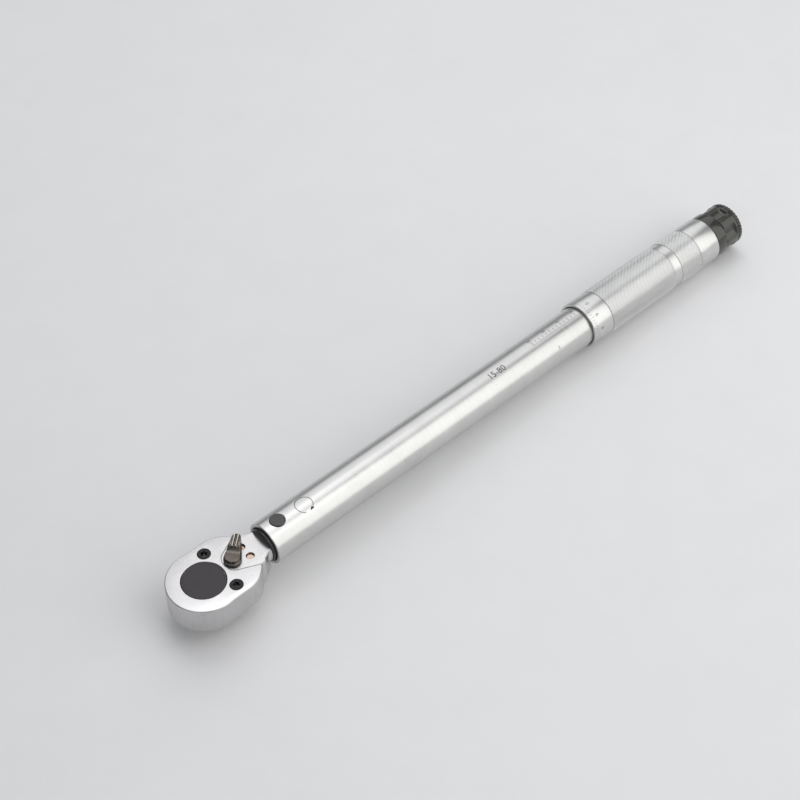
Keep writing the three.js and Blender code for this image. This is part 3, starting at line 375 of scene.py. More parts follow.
PIN_STEEL = finish(
    "dark_pin_steel",
    ((0.070, 0.066, 0.066), (0.098, 0.092, 0.092)),
    (0.38, 0.5),
    grain=(700, 700, 700),
    grain_depth=0.000002,
    cloud=260,
    metallic=0.7,
    edge=((0.35, 0.34, 0.33), 0.6),
)
BLACK_OXIDE = finish(
    "black_oxide_screw",
    ((0.012, 0.012, 0.013), (0.035, 0.034, 0.036)),
    (0.3, 0.5),
    grain=(700, 700, 700),
    grain_depth=0.000003,
    cloud=300,
    metallic=0.8,
    edge=((0.22, 0.21, 0.2), 0.5),
)
LEVER_FINISH = finish(
    "bronze_black_lever",
    ((0.075, 0.064, 0.056), (0.130, 0.113, 0.098)),
    (0.16, 0.28),
    grain=(400, 400, 400),
    grain_depth=0.000003,
    cloud=250,
    metallic=1.0,
    # Its brighter edge tone is partly wear and partly a painted highlight along the edges.
    edge=((0.5, 0.46, 0.4), 0.55),
    coat=0.3,
)
RIDGE_LOW, RIDGE_HIGH = 0.03022, 0.03050  # heights over the floor's origin, in metres
# The lever's ridge tops get a painted highlight: a brighter colour above a height.
rubbed_tops(LEVER_FINISH, RIDGE_LOW, RIDGE_HIGH, (0.62, 0.58, 0.53))
COPPER = finish(
    "copper_pin_end",
    ((0.52, 0.36, 0.28), (0.72, 0.55, 0.46)),
    (0.3, 0.5),
    grain=(900, 900, 300),
    grain_depth=0.000003,
    cloud=500,
)
STEEL = finish(
    "ground_steel",
    ((0.42, 0.42, 0.43), (0.62, 0.62, 0.63)),
    (0.18, 0.34),
    grain=(1800, 120, 120),
    grain_depth=0.000002,
    cloud=150,
    edge=((0.75, 0.75, 0.75), 0.5),
)
SPRING = finish(
    "spring_wire",
    ((0.16, 0.165, 0.175), (0.30, 0.31, 0.33)),
    (0.25, 0.42),
    grain=(300, 300, 300),
    grain_depth=0.000003,
    cloud=200,
)
RUBBER = finish(
    "black_rubber_ring",
    ((0.010, 0.010, 0.011), (0.022, 0.022, 0.024)),
    (0.24, 0.42),
    grain=(600, 600, 600),
    grain_depth=0.000004,
    cloud=300,
    metallic=0.0,
    coat=0.2,
)
KNOB_FINISH = finish(
    "dark_olive_plastic",
    ((0.024, 0.024, 0.019), (0.038, 0.038, 0.031)),
    (0.14, 0.22),
    grain=(350, 350, 350),
    grain_depth=0.000002,
    cloud=120,
    metallic=0.0,
    # Its brighter edge tone is a painted highlight: glints on the lobes' edges.
    edge=((0.20, 0.20, 0.18), 0.45),
    coat=0.35,
)
INK = finish(
    "dark_print",
    ((0.040, 0.034, 0.030), (0.085, 0.075, 0.068)),
    (0.6, 0.8),
    grain=(900, 900, 900),
    grain_depth=0.000001,
    cloud=300,
    metallic=0.0,
)
INK.node_tree.nodes["Principled BSDF"].inputs["Specular IOR Level"].default_value = 0.15
SCALE_INK = finish(
    "grey_scale_print",
    ((0.13, 0.125, 0.12), (0.24, 0.235, 0.23)),
    (0.5, 0.7),
    grain=(900, 900, 900),
    grain_depth=0.000001,
    cloud=300,
    metallic=0.0,
)
FLOOR_FINISH = finish(
    "pale_floor",
    ((0.80, 0.80, 0.81), (0.84, 0.84, 0.85)),
    (0.55, 0.7),
    grain=(40, 40, 40),
    grain_depth=0.00002,
    cloud=4,
    metallic=0.0,
)
floor.data.materials.append(FLOOR_FINISH)
print("finishes:", len(bpy.data.materials))

# %% [markdown]
# ## Tools for turned and cut shapes
# Most of the wrench came off a lathe, so the main tool here is a lathe too: a profile
# of points along the axis, each with a radius of its own for the rounded corner, spun
# round. Real corners are never sharp, and a corner of a tenth of a millimetre is what
# catches the bright line along an edge. Booleans then drill and mill as the factory
# does.


# %% A mesh from points in millimetres
def add_piece(name, points, faces, finish_used, sharp=30.0):
    """A mesh object from points in wrench millimetres, with its place in its mesh."""
    place = [(x * MM, y * MM, (z + AXIS_Z) * MM) for x, y, z in points]
    mesh = bpy.data.meshes.new(name)
    mesh.from_pydata(place, [], faces)
    piece = bpy.data.objects.new(name, mesh)
    bpy.context.scene.collection.objects.link(piece)
    clean(piece)
    mesh.materials.append(finish_used)
    smooth(piece, sharp)
    return piece


def clean(piece, closed=True, distance=1e-7):
    work = bmesh.new()
    work.from_mesh(piece.data)
    bmesh.ops.remove_doubles(work, verts=work.verts, dist=distance)
    bmesh.ops.dissolve_degenerate(work, edges=work.edges, dist=distance)
    if closed:
        bmesh.ops.recalc_face_normals(work, faces=work.faces)
    work.to_mesh(piece.data)
    work.free()


def smooth(piece, sharp=30.0):
    piece.data.shade_smooth()
    piece.data.set_sharp_from_angle(angle=math.radians(sharp))


def plain_mesh(source):
    """The evaluated mesh of an object: its curve, text or modifiers made plain."""
    graph = bpy.context.evaluated_depsgraph_get()
    graph.update()
    return bpy.data.meshes.new_from_object(source.evaluated_get(graph))


def bake(piece):
    """Applies the piece's modifiers by taking the evaluated mesh."""
    mesh = plain_mesh(piece)
    piece.modifiers.clear()
    old = piece.data
    piece.data = mesh
    bpy.data.meshes.remove(old)
    mesh.name = piece.name
    return piece


def combine(piece, other, operation, sharp=30.0):
    """Cuts with, joins or keeps what is common with another piece, which is then gone."""
    modifier = piece.modifiers.new("cut", "BOOLEAN")
    modifier.operation = operation
    modifier.solver = "EXACT"
    modifier.object = other
    bake(piece)
    bpy.data.objects.remove(other)
    clean(piece, closed=False)
    smooth(piece, sharp)
    return piece


def cut(piece, other, sharp=30.0):
    return combine(piece, other, "DIFFERENCE", sharp)


# %% Rounded profiles and the lathe
def rounded(profile, closed, steps=4):
    """Replaces each corner that has a radius by a short arc. Points are (x, r, round)."""
    points = [(p[0], p[1], p[2] if len(p) > 2 else 0.0) for p in profile]
    out = []
    count = len(points)
    for i, (x, r, radius) in enumerate(points):
        here = Vector((x, r))
        if not radius or (not closed and i in (0, count - 1)):
            out.append(here)
            continue
        before = Vector(points[i - 1][:2]) - here
        after = Vector(points[(i + 1) % count][:2]) - here
        half = before.angle(after) / 2
        back = min(radius / math.tan(half), before.length * 0.49, after.length * 0.49)
        a, b = before.normalized(), after.normalized()
        for k in range(steps + 1):
            t = k / steps
            out.append(here + a * back * (1 - t) ** 2 + b * back * t**2)
    return out


def lathe(name, profile, finish_used, closed=False, steps=96, upright=None):
    """Spins a profile about the tube's axis, or about an upright axis at (x, y)."""
    points, rings = [], []
    for along, r in rounded(profile, closed):
        if r < 1e-6:
            rings.append([len(points)])
            points.append(on_axis(along, 0, 0, upright))
            continue
        ring = []
        for k in range(steps):
            angle = 2 * math.pi * k / steps
            ring.append(len(points))
            points.append(on_axis(along, r, angle, upright))
        rings.append(ring)
    faces = []
    following = rings[1:] + rings[:1] if closed else rings[1:]
    for one, two in zip(rings, following):
        faces += band_faces(one, two, steps)
    return add_piece(name, points, faces, finish_used)


def on_axis(along, r, angle, upright):
    if upright is None:
        return (along, r * math.cos(angle), r * math.sin(angle))
    return (upright[0] + r * math.cos(angle), upright[1] + r * math.sin(angle), along)


def band_faces(one, two, steps):
    if len(one) == 1 and len(two) == 1:
        return []
    if len(one) == 1:
        return [(one[0], two[k], two[(k + 1) % steps]) for k in range(steps)]
    if len(two) == 1:
        return [(one[k], two[0], one[(k + 1) % steps]) for k in range(steps)]
    return [
        (one[k], two[k], two[(k + 1) % steps], one[(k + 1) % steps]) for k in range(steps)
    ]


# %% Flat outlines with rounded rims
RIM_STEPS = 3


def plate(name, outlines, bottom, top, rim, finish_used, place=None):
    """A raised outline with a rounded rim, from a flat curve. Later outlines are holes."""
    curve = bpy.data.curves.new(name, "CURVE")
    curve.dimensions = "2D"
    curve.fill_mode = "BOTH"
    for outline in outlines:
        spline = curve.splines.new("POLY")
        spline.points.add(len(outline) - 1)
        for point, (x, y) in zip(spline.points, outline):
            point.co = (x * MM, y * MM, 0, 1)
        spline.use_cyclic_u = True
    curve.extrude = (top - bottom) / 2 * MM - rim * MM
    curve.bevel_depth = rim * MM
    curve.bevel_resolution = RIM_STEPS
    curve.offset = -rim * MM
    flat = bpy.data.objects.new(name + "_flat", curve)
    bpy.context.scene.collection.objects.link(flat)
    mesh = plain_mesh(flat)
    bpy.data.objects.remove(flat)
    bpy.data.curves.remove(curve)
    mesh.name = name
    mesh.transform(Matrix.Translation((0, 0, ((bottom + top) / 2 + AXIS_Z) * MM)))
    if place is not None:
        mesh.transform(place)
    mesh.materials.clear()
    mesh.materials.append(finish_used)
    piece = bpy.data.objects.new(name, mesh)
    bpy.context.scene.collection.objects.link(piece)
    clean(piece)
    smooth(piece)
    return piece


def arc(cx, cy, radius, start, end, steps):
    """Points along an arc, with angles in radians."""
    return [
        (cx + radius * math.cos(a), cy + radius * math.sin(a))
        for a in np.linspace(start, end, steps)
    ]


def bezier(p0, p1, p2, p3, steps=24):
    out = []
    for t in np.linspace(0, 1, steps):
        a, b, c, d = (1 - t) ** 3, 3 * t * (1 - t) ** 2, 3 * t * t * (1 - t), t**3
        out.append(tuple(a * p0[k] + b * p1[k] + c * p2[k] + d * p3[k] for k in (0, 1)))
    return out


def dress(piece, body, slot, *nodes):
    """Rides the piece on its body and stands it in for CAD nodes. Its slot is not used."""
    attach(piece, body)
    if nodes:
        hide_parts(*nodes)
    print(piece.name, "faces:", len(piece.data.polygons), "rides on", body)
    return piece


# %% [markdown]
# ## The head
# The head is one forging: a round ratchet end, a waist and a neck that steps down and
# runs into the tube. It is drawn as a flat outline, raised with a rounded rim, and then
# bored, as the real one is. A curve object gives the rounded rim on every edge at once,
# which a bevel after many booleans can't do cleanly.

# %% Sizes of the head
GEAR_R = 12.4
HEAD_R = 17.5
HEAD_TOP, HEAD_BOTTOM = 4.2, -10.3
PLATE_SEAT = HEAD_TOP - 2.2
POCKET_FLOOR = HEAD_BOTTOM + 3
GEAR_BOTTOM, GEAR_TOP = POCKET_FLOOR + 0.6, PLATE_SEAT - 0.3
LEVER_X = 16.5
CHEEK = (13.0, 17.2)
SHOULDER = (25.0, 10.4)
NECK_STEP = (27.4, 10.2)
NECK_END = (32.6, 6.573)
SHANK_R, SHANK_END, SHANK_HALF = 7.8, 60.0, 5.6
PIVOT_X, PIVOT_R = 43.0, 3.75
TUBE_START, TUBE_END, TUBE_R, TUBE_BORE = 34.8, 290.0, 10.6, 9.0
BUSH_PIN_X, BUSH_PIN_HOLE = 281, 1.55
BOSS_R, DISC_R, DISC_HOLE = 9.4, 10.25, 10.45
POST_R = 2.2
TEETH = 36
SQUARE_SIDE, SQUARE_LENGTH, SQUARE_CORNER = 9.53, 11, 0.9
DETENT_Z = HEAD_BOTTOM - SQUARE_LENGTH + 5.5
BALL_R, BALL_PROUD, BALL_HOLE = 1.75, 0.6, 1.8
SCREW_HEAD_R = 3.1


def head_outline():
    start = math.asin(CHEEK[1] / HEAD_R)
    swell = (SHOULDER[0] - CHEEK[0]) / 2
    leaving = (CHEEK[0] + swell, CHEEK[1] - 0.3)
    arriving = (SHOULDER[0] - swell / 3, SHOULDER[1] + swell / 2)
    left = bezier(SHOULDER, arriving, leaving, CHEEK)
    front = arc(0, 0, HEAD_R, start, 2 * math.pi - start, 110)
    neck = [(NECK_STEP[0] + 0.8, NECK_STEP[1] - 0.9), NECK_STEP]
    one_side = [NECK_END] + neck + left
    other = [(x, -y) for x, y in reversed(one_side)]
    return one_side + front + other


def rod_x(name, start, end, radius, steps=64):
    profile = [(start, 0), (start, radius), (end, radius), (end, 0)]
    return lathe(name, profile, STEEL, steps=steps)


def rod_z(name, x, y, bottom, top, radius, steps=48, mouth=0.0):
    """An upright cutter, opened out by a chamfer at its top."""
    profile = [(bottom, 0), (bottom, radius)]
    if mouth:
        profile += [(top - mouth, radius), (top, radius + mouth)]
        profile += [(top + 1, radius + mouth + 1), (top + 1, 0)]
    else:
        profile += [(top, radius), (top, 0)]
    return lathe(name, profile, STEEL, steps=steps, upright=(x, y))


def box(name, low, high):
    x0, y0, z0 = low
    x1, y1, z1 = high
    points = [(x, y, z) for x in (x0, x1) for y in (y0, y1) for z in (z0, z1)]
    faces = [(0, 1, 3, 2), (4, 6, 7, 5), (0, 4, 5, 1)]
    faces += [(2, 3, 7, 6), (0, 2, 6, 4), (1, 5, 7, 3)]
    return add_piece(name, points, faces, STEEL)


# %% The plate's V-shaped rear edge
def plate_region(drawn_back):
    """In front of the V edge that goes round the lever, drawn back by a gap."""
    x, half, hollow = 14.4, 5.4, 12.0
    arc_x = (x * x + half * half - hollow * hollow) / (2 * (x - hollow))
    bend = math.atan2(half, x - arc_x)
    slope = (SHOULDER[1] - half) / (SHOULDER[0] - x)
    far = NECK_STEP[0]
    far_half = half + slope * (far - x)
    front = arc(arc_x - drawn_back, 0, arc_x - hollow, 2 * math.pi - bend, bend, 40)
    return (
        [(-60, -60), (far - drawn_back, -60), (far - drawn_back, -far_half)]
        + front
        + [(far - drawn_back, far_half), (far - drawn_back, 60), (-60, 60)]
    )


SEAM_HALF, SEAM_DEEP = 0.2, 0.22


def seam_cutter():
    """A V-shaped groove over the joint line between plate and head."""
    path = [p for p in plate_region(0.05) if p[0] > -50 and abs(p[1]) < 50]
    points, faces = [], []
    for i, (x, y) in enumerate(path):
        a, b = path[max(i - 1, 0)], path[min(i + 1, len(path) - 1)]
        along = Vector((b[0] - a[0], b[1] - a[1])).normalized()
        side = Vector((-along.y, along.x)) * SEAM_HALF * 2
        points += [
            (x + side.x, y + side.y, HEAD_TOP + SEAM_DEEP),
            (x - side.x, y - side.y, HEAD_TOP + SEAM_DEEP),
            (x, y, HEAD_TOP - SEAM_DEEP),
        ]
    for i in range(len(path) - 1):
        for k in range(3):
            one, two = 3 * i + k, 3 * i + (k + 1) % 3
            faces.append((one, two, two + 3, one + 3))
    last = 3 * (len(path) - 1)
    faces += [(0, 2, 1), (last, last + 1, last + 2)]
    return add_piece("seam", points, faces, STEEL)


region = plate_region(0.0)
print("plate edge points:", len(region))

# %% The head's blank and shank
def shank(name, start, gap):
    body = rod_x(name, start, SHANK_END, SHANK_R + gap, 96)
    cut(body, box("over", (start - 1, -30, HEAD_TOP + gap), (90, 30, 40)))
    for side in (1, -1):
        edge, far = sorted((side * SHANK_HALF, side * 30))
        cut(body, box("side", (PIVOT_X + PIVOT_R + 1, edge, -30), (90, far, 30)))
    return body


def wedge_under():
    """The neck's underside rises to meet the round shank."""
    x0, x1 = SHOULDER[0], NECK_END[0] + 1
    z0, z1, low = HEAD_BOTTOM, HEAD_BOTTOM + 3, HEAD_BOTTOM - 5
    side = ((x0, z0), (x1, z1), (x1, low), (x0, low))
    points = [(x, y, z) for y in (-30, 30) for x, z in side]
    faces = [(0, 1, 2, 3), (7, 6, 5, 4)]
    faces += [(k, (k + 1) % 4, (k + 1) % 4 + 4, k + 4) for k in range(4)]
    return add_piece("wedge", points, faces, STEEL)


RIM = 0.55
head = plate("head_forging", [head_outline()], HEAD_BOTTOM, HEAD_TOP, RIM, SATIN_HEAD)
cut(head, wedge_under())
combine(head, shank("shank", NECK_STEP[0] - 0.5, 0), "UNION")
print("head blank faces:", len(head.data.polygons))

# %% Bore the head
cut(head, plate("seat", [region], PLATE_SEAT, 30, 0, STEEL))
cut(head, rod_z("gear_pocket", 0, 0, POCKET_FLOOR, PLATE_SEAT + 1, GEAR_R + 0.5, 96))
cut(head, rod_z("boss_hole", 0, 0, HEAD_BOTTOM - 1, POCKET_FLOOR + 1, BOSS_R + 0.1, 96))


def pawl_pocket():
    half, back, tail, tail_back, corner = 9.4, LEVER_X + 4.3, 4.4, LEVER_X + 8.1, 3.0
    side = [(8.4, -half)]
    side += arc(back - corner, -half + corner, corner, -math.pi / 2, 0, 10)
    side += [(back, -tail), (tail_back, -tail)]
    return side + [(x, -y) for x, y in reversed(side)]


cut(head, plate("pawl_room", [pawl_pocket()], POCKET_FLOOR, GEAR_TOP, 0, STEEL))
cut(head, rod_z("post_hole", LEVER_X, 0, POCKET_FLOOR - 1.2, 30, POST_R + 0.1))
cut(head, rod_z("clip_hole", LEVER_X, 0, POCKET_FLOOR - 1.2, POCKET_FLOOR + 1, 3.6))
SCREW_X, SCREW_Y = 9.297, 11.605
PIN_X, PIN_Y, PIN_R = 24.0, 3.3, 1.8
for side in (1, -1):
    hole = rod_z("thread", SCREW_X, side * SCREW_Y, HEAD_TOP - 9, HEAD_TOP, 1.55, 32)
    cut(head, hole)
    at = (PIN_X, side * PIN_Y)
    hole = rod_z("pin_hole", *at, POCKET_FLOOR - 1, HEAD_TOP, PIN_R + 0.2, 48, 0.07)
    cut(head, hole)
cut(head, rod_z("pivot_hole", PIVOT_X, 0, -30, 30, PIVOT_R + 0.1, 64))
cut(head, seam_cutter())
dress(head, "head", "satin_chrome", "head_body")

# %% [markdown]
# ## The cover plate
# A flush plate closes the ratchet. Its top is ground with the head, so its outer rim
# carries on the head's rim; a thin seam and a rubbed edge are all that show it. The
# round opening and the two countersinks have small polished chamfers, the bright rings
# that outline the disc and the screws.

# %% Cover plate
plate_top = plate("cover_plate_top", [head_outline()], HEAD_BOTTOM, HEAD_TOP, RIM, SATIN_HEAD)
keep = plate("keep", [plate_region(0.1)], PLATE_SEAT + 0.02, 30, 0, STEEL)
combine(plate_top, keep, "INTERSECT")
cut(plate_top, rod_z("opening", 0, 0, -20, HEAD_TOP, DISC_HOLE, 128, 0.14))


def countersink(x, y):
    profile = [
        (-20, 0),
        (-20, 1.6),
        (HEAD_TOP - 1.6, 1.6),
        (HEAD_TOP - 0.45, SCREW_HEAD_R + 0.05),
        (HEAD_TOP - 0.12, SCREW_HEAD_R + 0.05),
        (HEAD_TOP + 0.1, SCREW_HEAD_R + 0.27),
        (HEAD_TOP + 0.1, 0),
    ]
    return lathe("countersink", profile, STEEL, steps=64, upright=(x, y))


for side in (1, -1):
    cut(plate_top, countersink(SCREW_X, side * SCREW_Y))
cut(plate_top, seam_cutter())
dress(plate_top, "head", "satin_chrome", "cover_plate")

# %% [markdown]
# ## The gear, its disc and the square drive
# The gear, the dark disc in the cover's opening and the square that takes the sockets
# are one piece of steel. The teeth repeat round a circle, so they are a rule: a wedge
# shaped tooth drawn once and instanced by Geometry Nodes at even angles.


# %% A helper for geometry-node trees
def node_group(name, inputs):
    """A geometry-node tree with named inputs and one geometry output."""
    tree = bpy.data.node_groups.new(name, "GeometryNodeTree")
    for label, kind, value in inputs:
        socket = tree.interface.new_socket(label, in_out="INPUT", socket_type=kind)
        if value is not None:
            socket.default_value = value
    tree.interface.new_socket("Geometry", in_out="OUTPUT", socket_type="NodeSocketGeometry")
    given = tree.nodes.new("NodeGroupInput")
    result = tree.nodes.new("NodeGroupOutput")
    return tree, given.outputs, result.inputs["Geometry"]


def step(tree, kind, inputs=None, output=0):
    """Adds a node, links or sets its inputs by name or number, and returns an output."""
    node = tree.nodes.new(kind)
    for slot, value in (inputs or {}).items():
        if isinstance(value, bpy.types.NodeSocket):
            tree.links.new(value, node.inputs[slot])
        else:
            node.inputs[slot].default_value = value
    return node.outputs[output]


def maths(tree, operation, *values):
    result = step(tree, "ShaderNodeMath", dict(enumerate(values)))
    result.node.operation = operation
    return result


def vector(tree, x=0.0, y=0.0, z=0.0):
    return step(tree, "ShaderNodeCombineXYZ", {"X": x, "Y": y, "Z": z})


def grow(name, tree, values):
    """Runs a tree on an empty mesh and returns the plain mesh it makes."""
    holder = bpy.data.objects.new(name, bpy.data.meshes.new(name))
    bpy.context.scene.collection.objects.link(holder)
    modifier = holder.modifiers.new("rule", "NODES")
    modifier.node_group = tree
    for item in tree.interface.items_tree:
        if item.in_out == "INPUT" and item.name in values:
            modifier[item.identifier] = values[item.name]
    bake(holder)
    return holder


def end_tree(tree, geometry, finish_socket, result):
    """Realize Instances, then Set Material, as the last two steps of every tree."""
    real = step(tree, "GeometryNodeRealizeInstances", {"Geometry": geometry})
    given = {"Geometry": real, "Material": finish_socket}
    tree.links.new(step(tree, "GeometryNodeSetMaterial", given), result)


# %% Things repeated evenly round an upright axis
def ring_of_tree():
    tree, given, result = node_group(
        "repeat_round_an_upright_axis",
        [
            ("Piece", "NodeSocketObject", None),
            ("Count", "NodeSocketInt", 36),
            ("First angle", "NodeSocketFloat", 0.0),
            ("Step angle", "NodeSocketFloat", 0.1),
            ("Material", "NodeSocketMaterial", None),
        ],
    )
    points = step(tree, "GeometryNodePoints", {"Count": given["Count"]})
    index = step(tree, "GeometryNodeInputIndex")
    angle = maths(tree, "MULTIPLY_ADD", index, given["Step angle"], given["First angle"])
    piece = step(tree, "GeometryNodeObjectInfo", {"Object": given["Piece"]}, "Geometry")
    placing = {"Points": points, "Instance": piece, "Rotation": vector(tree, z=angle)}
    put = step(tree, "GeometryNodeInstanceOnPoints", placing)
    end_tree(tree, put, given["Material"], result)
    return tree


RING_OF = ring_of_tree()


def tooth():
    """One wedge of a tooth, overlapping the gear's core."""
    half, tip_half = math.pi / TEETH, 0.1 * math.pi / TEETH
    root, tip = GEAR_R - 0.8, GEAR_R
    flat = [(root - 0.4, -half), (root, -half), (tip, -tip_half), (tip, tip_half)]
    flat += [(root, half), (root - 0.4, half)]
    at = [(r * math.cos(a), r * math.sin(a)) for r, a in flat]
    return plate("tooth", [at], GEAR_BOTTOM, GEAR_TOP, 0, DARK_DISC)


one_tooth = tooth()
teeth = grow(
    "gear_teeth",
    RING_OF,
    {
        "Piece": one_tooth,
        "Count": TEETH,
        "Step angle": math.tau / TEETH,
        "Material": DARK_DISC,
    },
)
bpy.data.objects.remove(one_tooth)
print("teeth faces:", len(teeth.data.polygons))


# %% Disc, core and square
def square_outline(steps=5):
    half, corner = SQUARE_SIDE / 2, SQUARE_CORNER
    out = []
    for k, (sx, sy) in enumerate(((1, 1), (-1, 1), (-1, -1), (1, -1))):
        centre = (sx * (half - corner), sy * (half - corner))
        out += arc(*centre, corner, k * math.pi / 2, (k + 1) * math.pi / 2, steps)
    return out


gear = lathe(
    "drive_gear_and_disc",
    [
        (HEAD_BOTTOM + 0.3, 0),
        (HEAD_BOTTOM + 0.3, BOSS_R, 0.3),
        (GEAR_BOTTOM, BOSS_R),
        (GEAR_BOTTOM, GEAR_R - 0.85),
        (GEAR_TOP, GEAR_R - 0.85),
        (GEAR_TOP, DISC_R),
        (HEAD_TOP - 0.02, DISC_R, 0.22),
        (HEAD_TOP - 0.02, 9.3),
        (HEAD_TOP - 0.10, 9.2),
        (HEAD_TOP - 0.06, 5.0),
        (HEAD_TOP - 0.04, 0),
    ],
    DARK_DISC,
    steps=128,
    upright=(0, 0),
)
square_end = HEAD_BOTTOM - SQUARE_LENGTH
square = plate("square", [square_outline()], square_end, HEAD_BOTTOM + 1, 0.7, DARK_DISC)
combine(gear, square, "UNION")
SQUARE_HALF = SQUARE_SIDE / 2
detent = rod_x("detent", -2 * SQUARE_HALF, 7.3 - SQUARE_HALF, BALL_HOLE, 40)
detent.data.transform(Matrix.Translation((0, 0, -AXIS_Z * MM)))
detent.data.transform(Matrix.Rotation(math.pi / 2, 4, "Z"))
detent.data.transform(Matrix.Translation((0, 0, (AXIS_Z + DETENT_Z) * MM)))
cut(gear, detent)


def join(pieces):
    """Several pieces become one mesh object, the first."""
    first = pieces[0]
    work = bmesh.new()
    for piece in pieces:
        work.from_mesh(piece.data)
    work.to_mesh(first.data)
    work.free()
    for piece in pieces[1:]:
        bpy.data.objects.remove(piece)
    smooth(first)
    return first


join([gear, teeth])
dress(gear, "drive", "dark_steel", "drive_gear")

# %% The socket ball
def ball_profile(radius, steps=24):
    return [
        (radius * -math.cos(a), radius * math.sin(a)) for a in np.linspace(0, math.pi, steps)
    ]


ball = lathe("drive_detent_ball", ball_profile(BALL_R), STEEL, steps=40)
ball_y = -SQUARE_HALF - BALL_PROUD + BALL_R
ball.data.transform(Matrix.Translation((0, ball_y * MM, DETENT_Z * MM)))
dress(ball, "detent_ball", "bright_steel", "drive_ball")

# %% [markdown]
# ## Cover screws and pin ends
# Two black countersunk screws with six-lobed sockets hold the plate. One screw is
# turned and its socket cut, and Geometry Nodes puts it at both places, which are the
# same angle either side of the wrench's centre line.

# %% Cover screws
def lobed(radius, wave, x, lobes=6, steps=72):
    out = []
    for k in range(steps):
        a = math.tau * k / steps
        r = radius * (1 + wave * math.cos(lobes * a))
        out.append((x + r * math.cos(a), r * math.sin(a)))
    return out


SCREW_OUT = math.hypot(SCREW_X, SCREW_Y)
SCREW_ANGLE = math.atan2(SCREW_Y, SCREW_X)
screw = lathe(
    "one_screw",
    [
        (HEAD_TOP - 8, 0),
        (HEAD_TOP - 8, 1.4, 0.2),
        (HEAD_TOP - 1.6, 1.5),
        (HEAD_TOP - 0.4, SCREW_HEAD_R),
        (HEAD_TOP - 0.12, SCREW_HEAD_R, 0.12),
        (HEAD_TOP - 0.12, 2.2),
        (HEAD_TOP - 0.16, 0),
    ],
    BLACK_OXIDE,
    steps=64,
    upright=(SCREW_OUT, 0),
)
star = lobed(1.6, 0.14, SCREW_OUT)
socket = plate("socket", [star], HEAD_TOP - 1.4, 20, 0, BLACK_OXIDE)
cut(screw, socket)
screws = grow(
    "cover_screws",
    RING_OF,
    {
        "Piece": screw,
        "Count": 2,
        "First angle": -SCREW_ANGLE,
        "Step angle": 2 * SCREW_ANGLE,
        "Material": BLACK_OXIDE,
    },
)
bpy.data.objects.remove(screw)
smooth(screws)
dress(screws, "head", "black_oxide", "cover_screw_left", "cover_screw_right")

# %% Copper-coloured pin ends
PIN_TOP = HEAD_TOP - 1.0
pin_ends = []
for side in (1, -1):
    profile = [
        (POCKET_FLOOR - 0.7, 0),
        (POCKET_FLOOR - 0.7, PIN_R, 0.15),
        (PIN_TOP, PIN_R, 0.35),
        (PIN_TOP - 0.02, PIN_R * 0.5),
        (PIN_TOP - 0.12, 0),
    ]
    name = "stop_pin_end_" + ("left" if side > 0 else "right")
    pin_ends.append(lathe(name, profile, COPPER, steps=48, upright=(PIN_X, side * PIN_Y)))
join(pin_ends)
dress(pin_ends[0], "head", "copper_pin", "stop_pin_left", "stop_pin_right")

# %% [markdown]
# ## The reversing lever
# The lever is a small casting: a teardrop with a round hub, a raised pad near its tip
# and two ridges for the thumb. Castings have no sharp inside corners, so its rough
# pieces are fused by a voxel remesh and smoothed, which melts the joints the way a
# mould does, and then the clean post is added below.

# %% Lever
LEVER_REACH, HUB_R, TIP_R = 10.4, 4.2, 2.0
LEVER_TURN = math.radians(40)
LEVER_BASE = HEAD_TOP + 0.3


def teardrop(start, hub, tip, reach, steps=40):
    lean = math.acos((hub - tip) / reach)
    return arc(start, 0, hub, lean, math.tau - lean, steps) + arc(
        start + reach, 0, tip, -lean, lean, steps // 2
    )


def side_cutter(low):
    """What is above the lever seen from its side: a flat hub, a ramp and a thumb pad."""
    pulls = ((3.4, low + 2.95), (4.8, low + 4.0))
    ramp = bezier((1.4, low + 2.9), *pulls, (7.6, low + 4.1), 18)
    side = [(-9, low + 2.8)] + ramp + [(10.6, low + 4.1), (12.4, low + 3.5), (15, low + 2.4)]
    side += [(15, low + 9), (-9, low + 9)]
    points = [(x, y, z) for y in (-9, 9) for x, z in side]
    count = len(side)
    faces = [tuple(range(count)), tuple(range(2 * count - 1, count - 1, -1))]
    faces += [
        (k, (k + 1) % count, (k + 1) % count + count, k + count) for k in range(count)
    ]
    return add_piece("over_lever", points, faces, STEEL)


def melt(piece, voxel, rounds):
    """Fuses rough shapes and rounds their corners, as a mould does."""
    remesh = piece.modifiers.new("melt", "REMESH")
    remesh.mode = "VOXEL"
    remesh.voxel_size = voxel * MM
    remesh.use_smooth_shade = True
    soften = piece.modifiers.new("soften", "SMOOTH")
    soften.factor = 0.5
    soften.iterations = rounds
    return bake(piece)


def lever_shape():
    low = LEVER_BASE
    flat = teardrop(0, HUB_R, TIP_R + 0.1, LEVER_REACH)
    skirt = plate("lever_rough", [flat], low, low + 1.2, 0.2, STEEL)
    blade = plate(
        "blade",
        [teardrop(0.3, HUB_R - 0.55, TIP_R + 0.05, LEVER_REACH - 0.35)],
        low + 0.5,
        low + 6,
        0.2,
        STEEL,
    )
    cut(blade, side_cutter(low))
    combine(skirt, blade, "UNION")
    melt(skirt, 0.15, 11)
    for y in (-0.85, 0.85):
        ridge = plate(
            "ridge",
            [teardrop(4.6, 0.45, 0.48, 6.3, 20)],
            low + 2.4,
            low + 4.8,
            0.4,
            STEEL,
            place=Matrix.Translation((0, y * MM, 0)),
        )
        combine(skirt, ridge, "UNION")
    return melt(skirt, 0.1, 2)


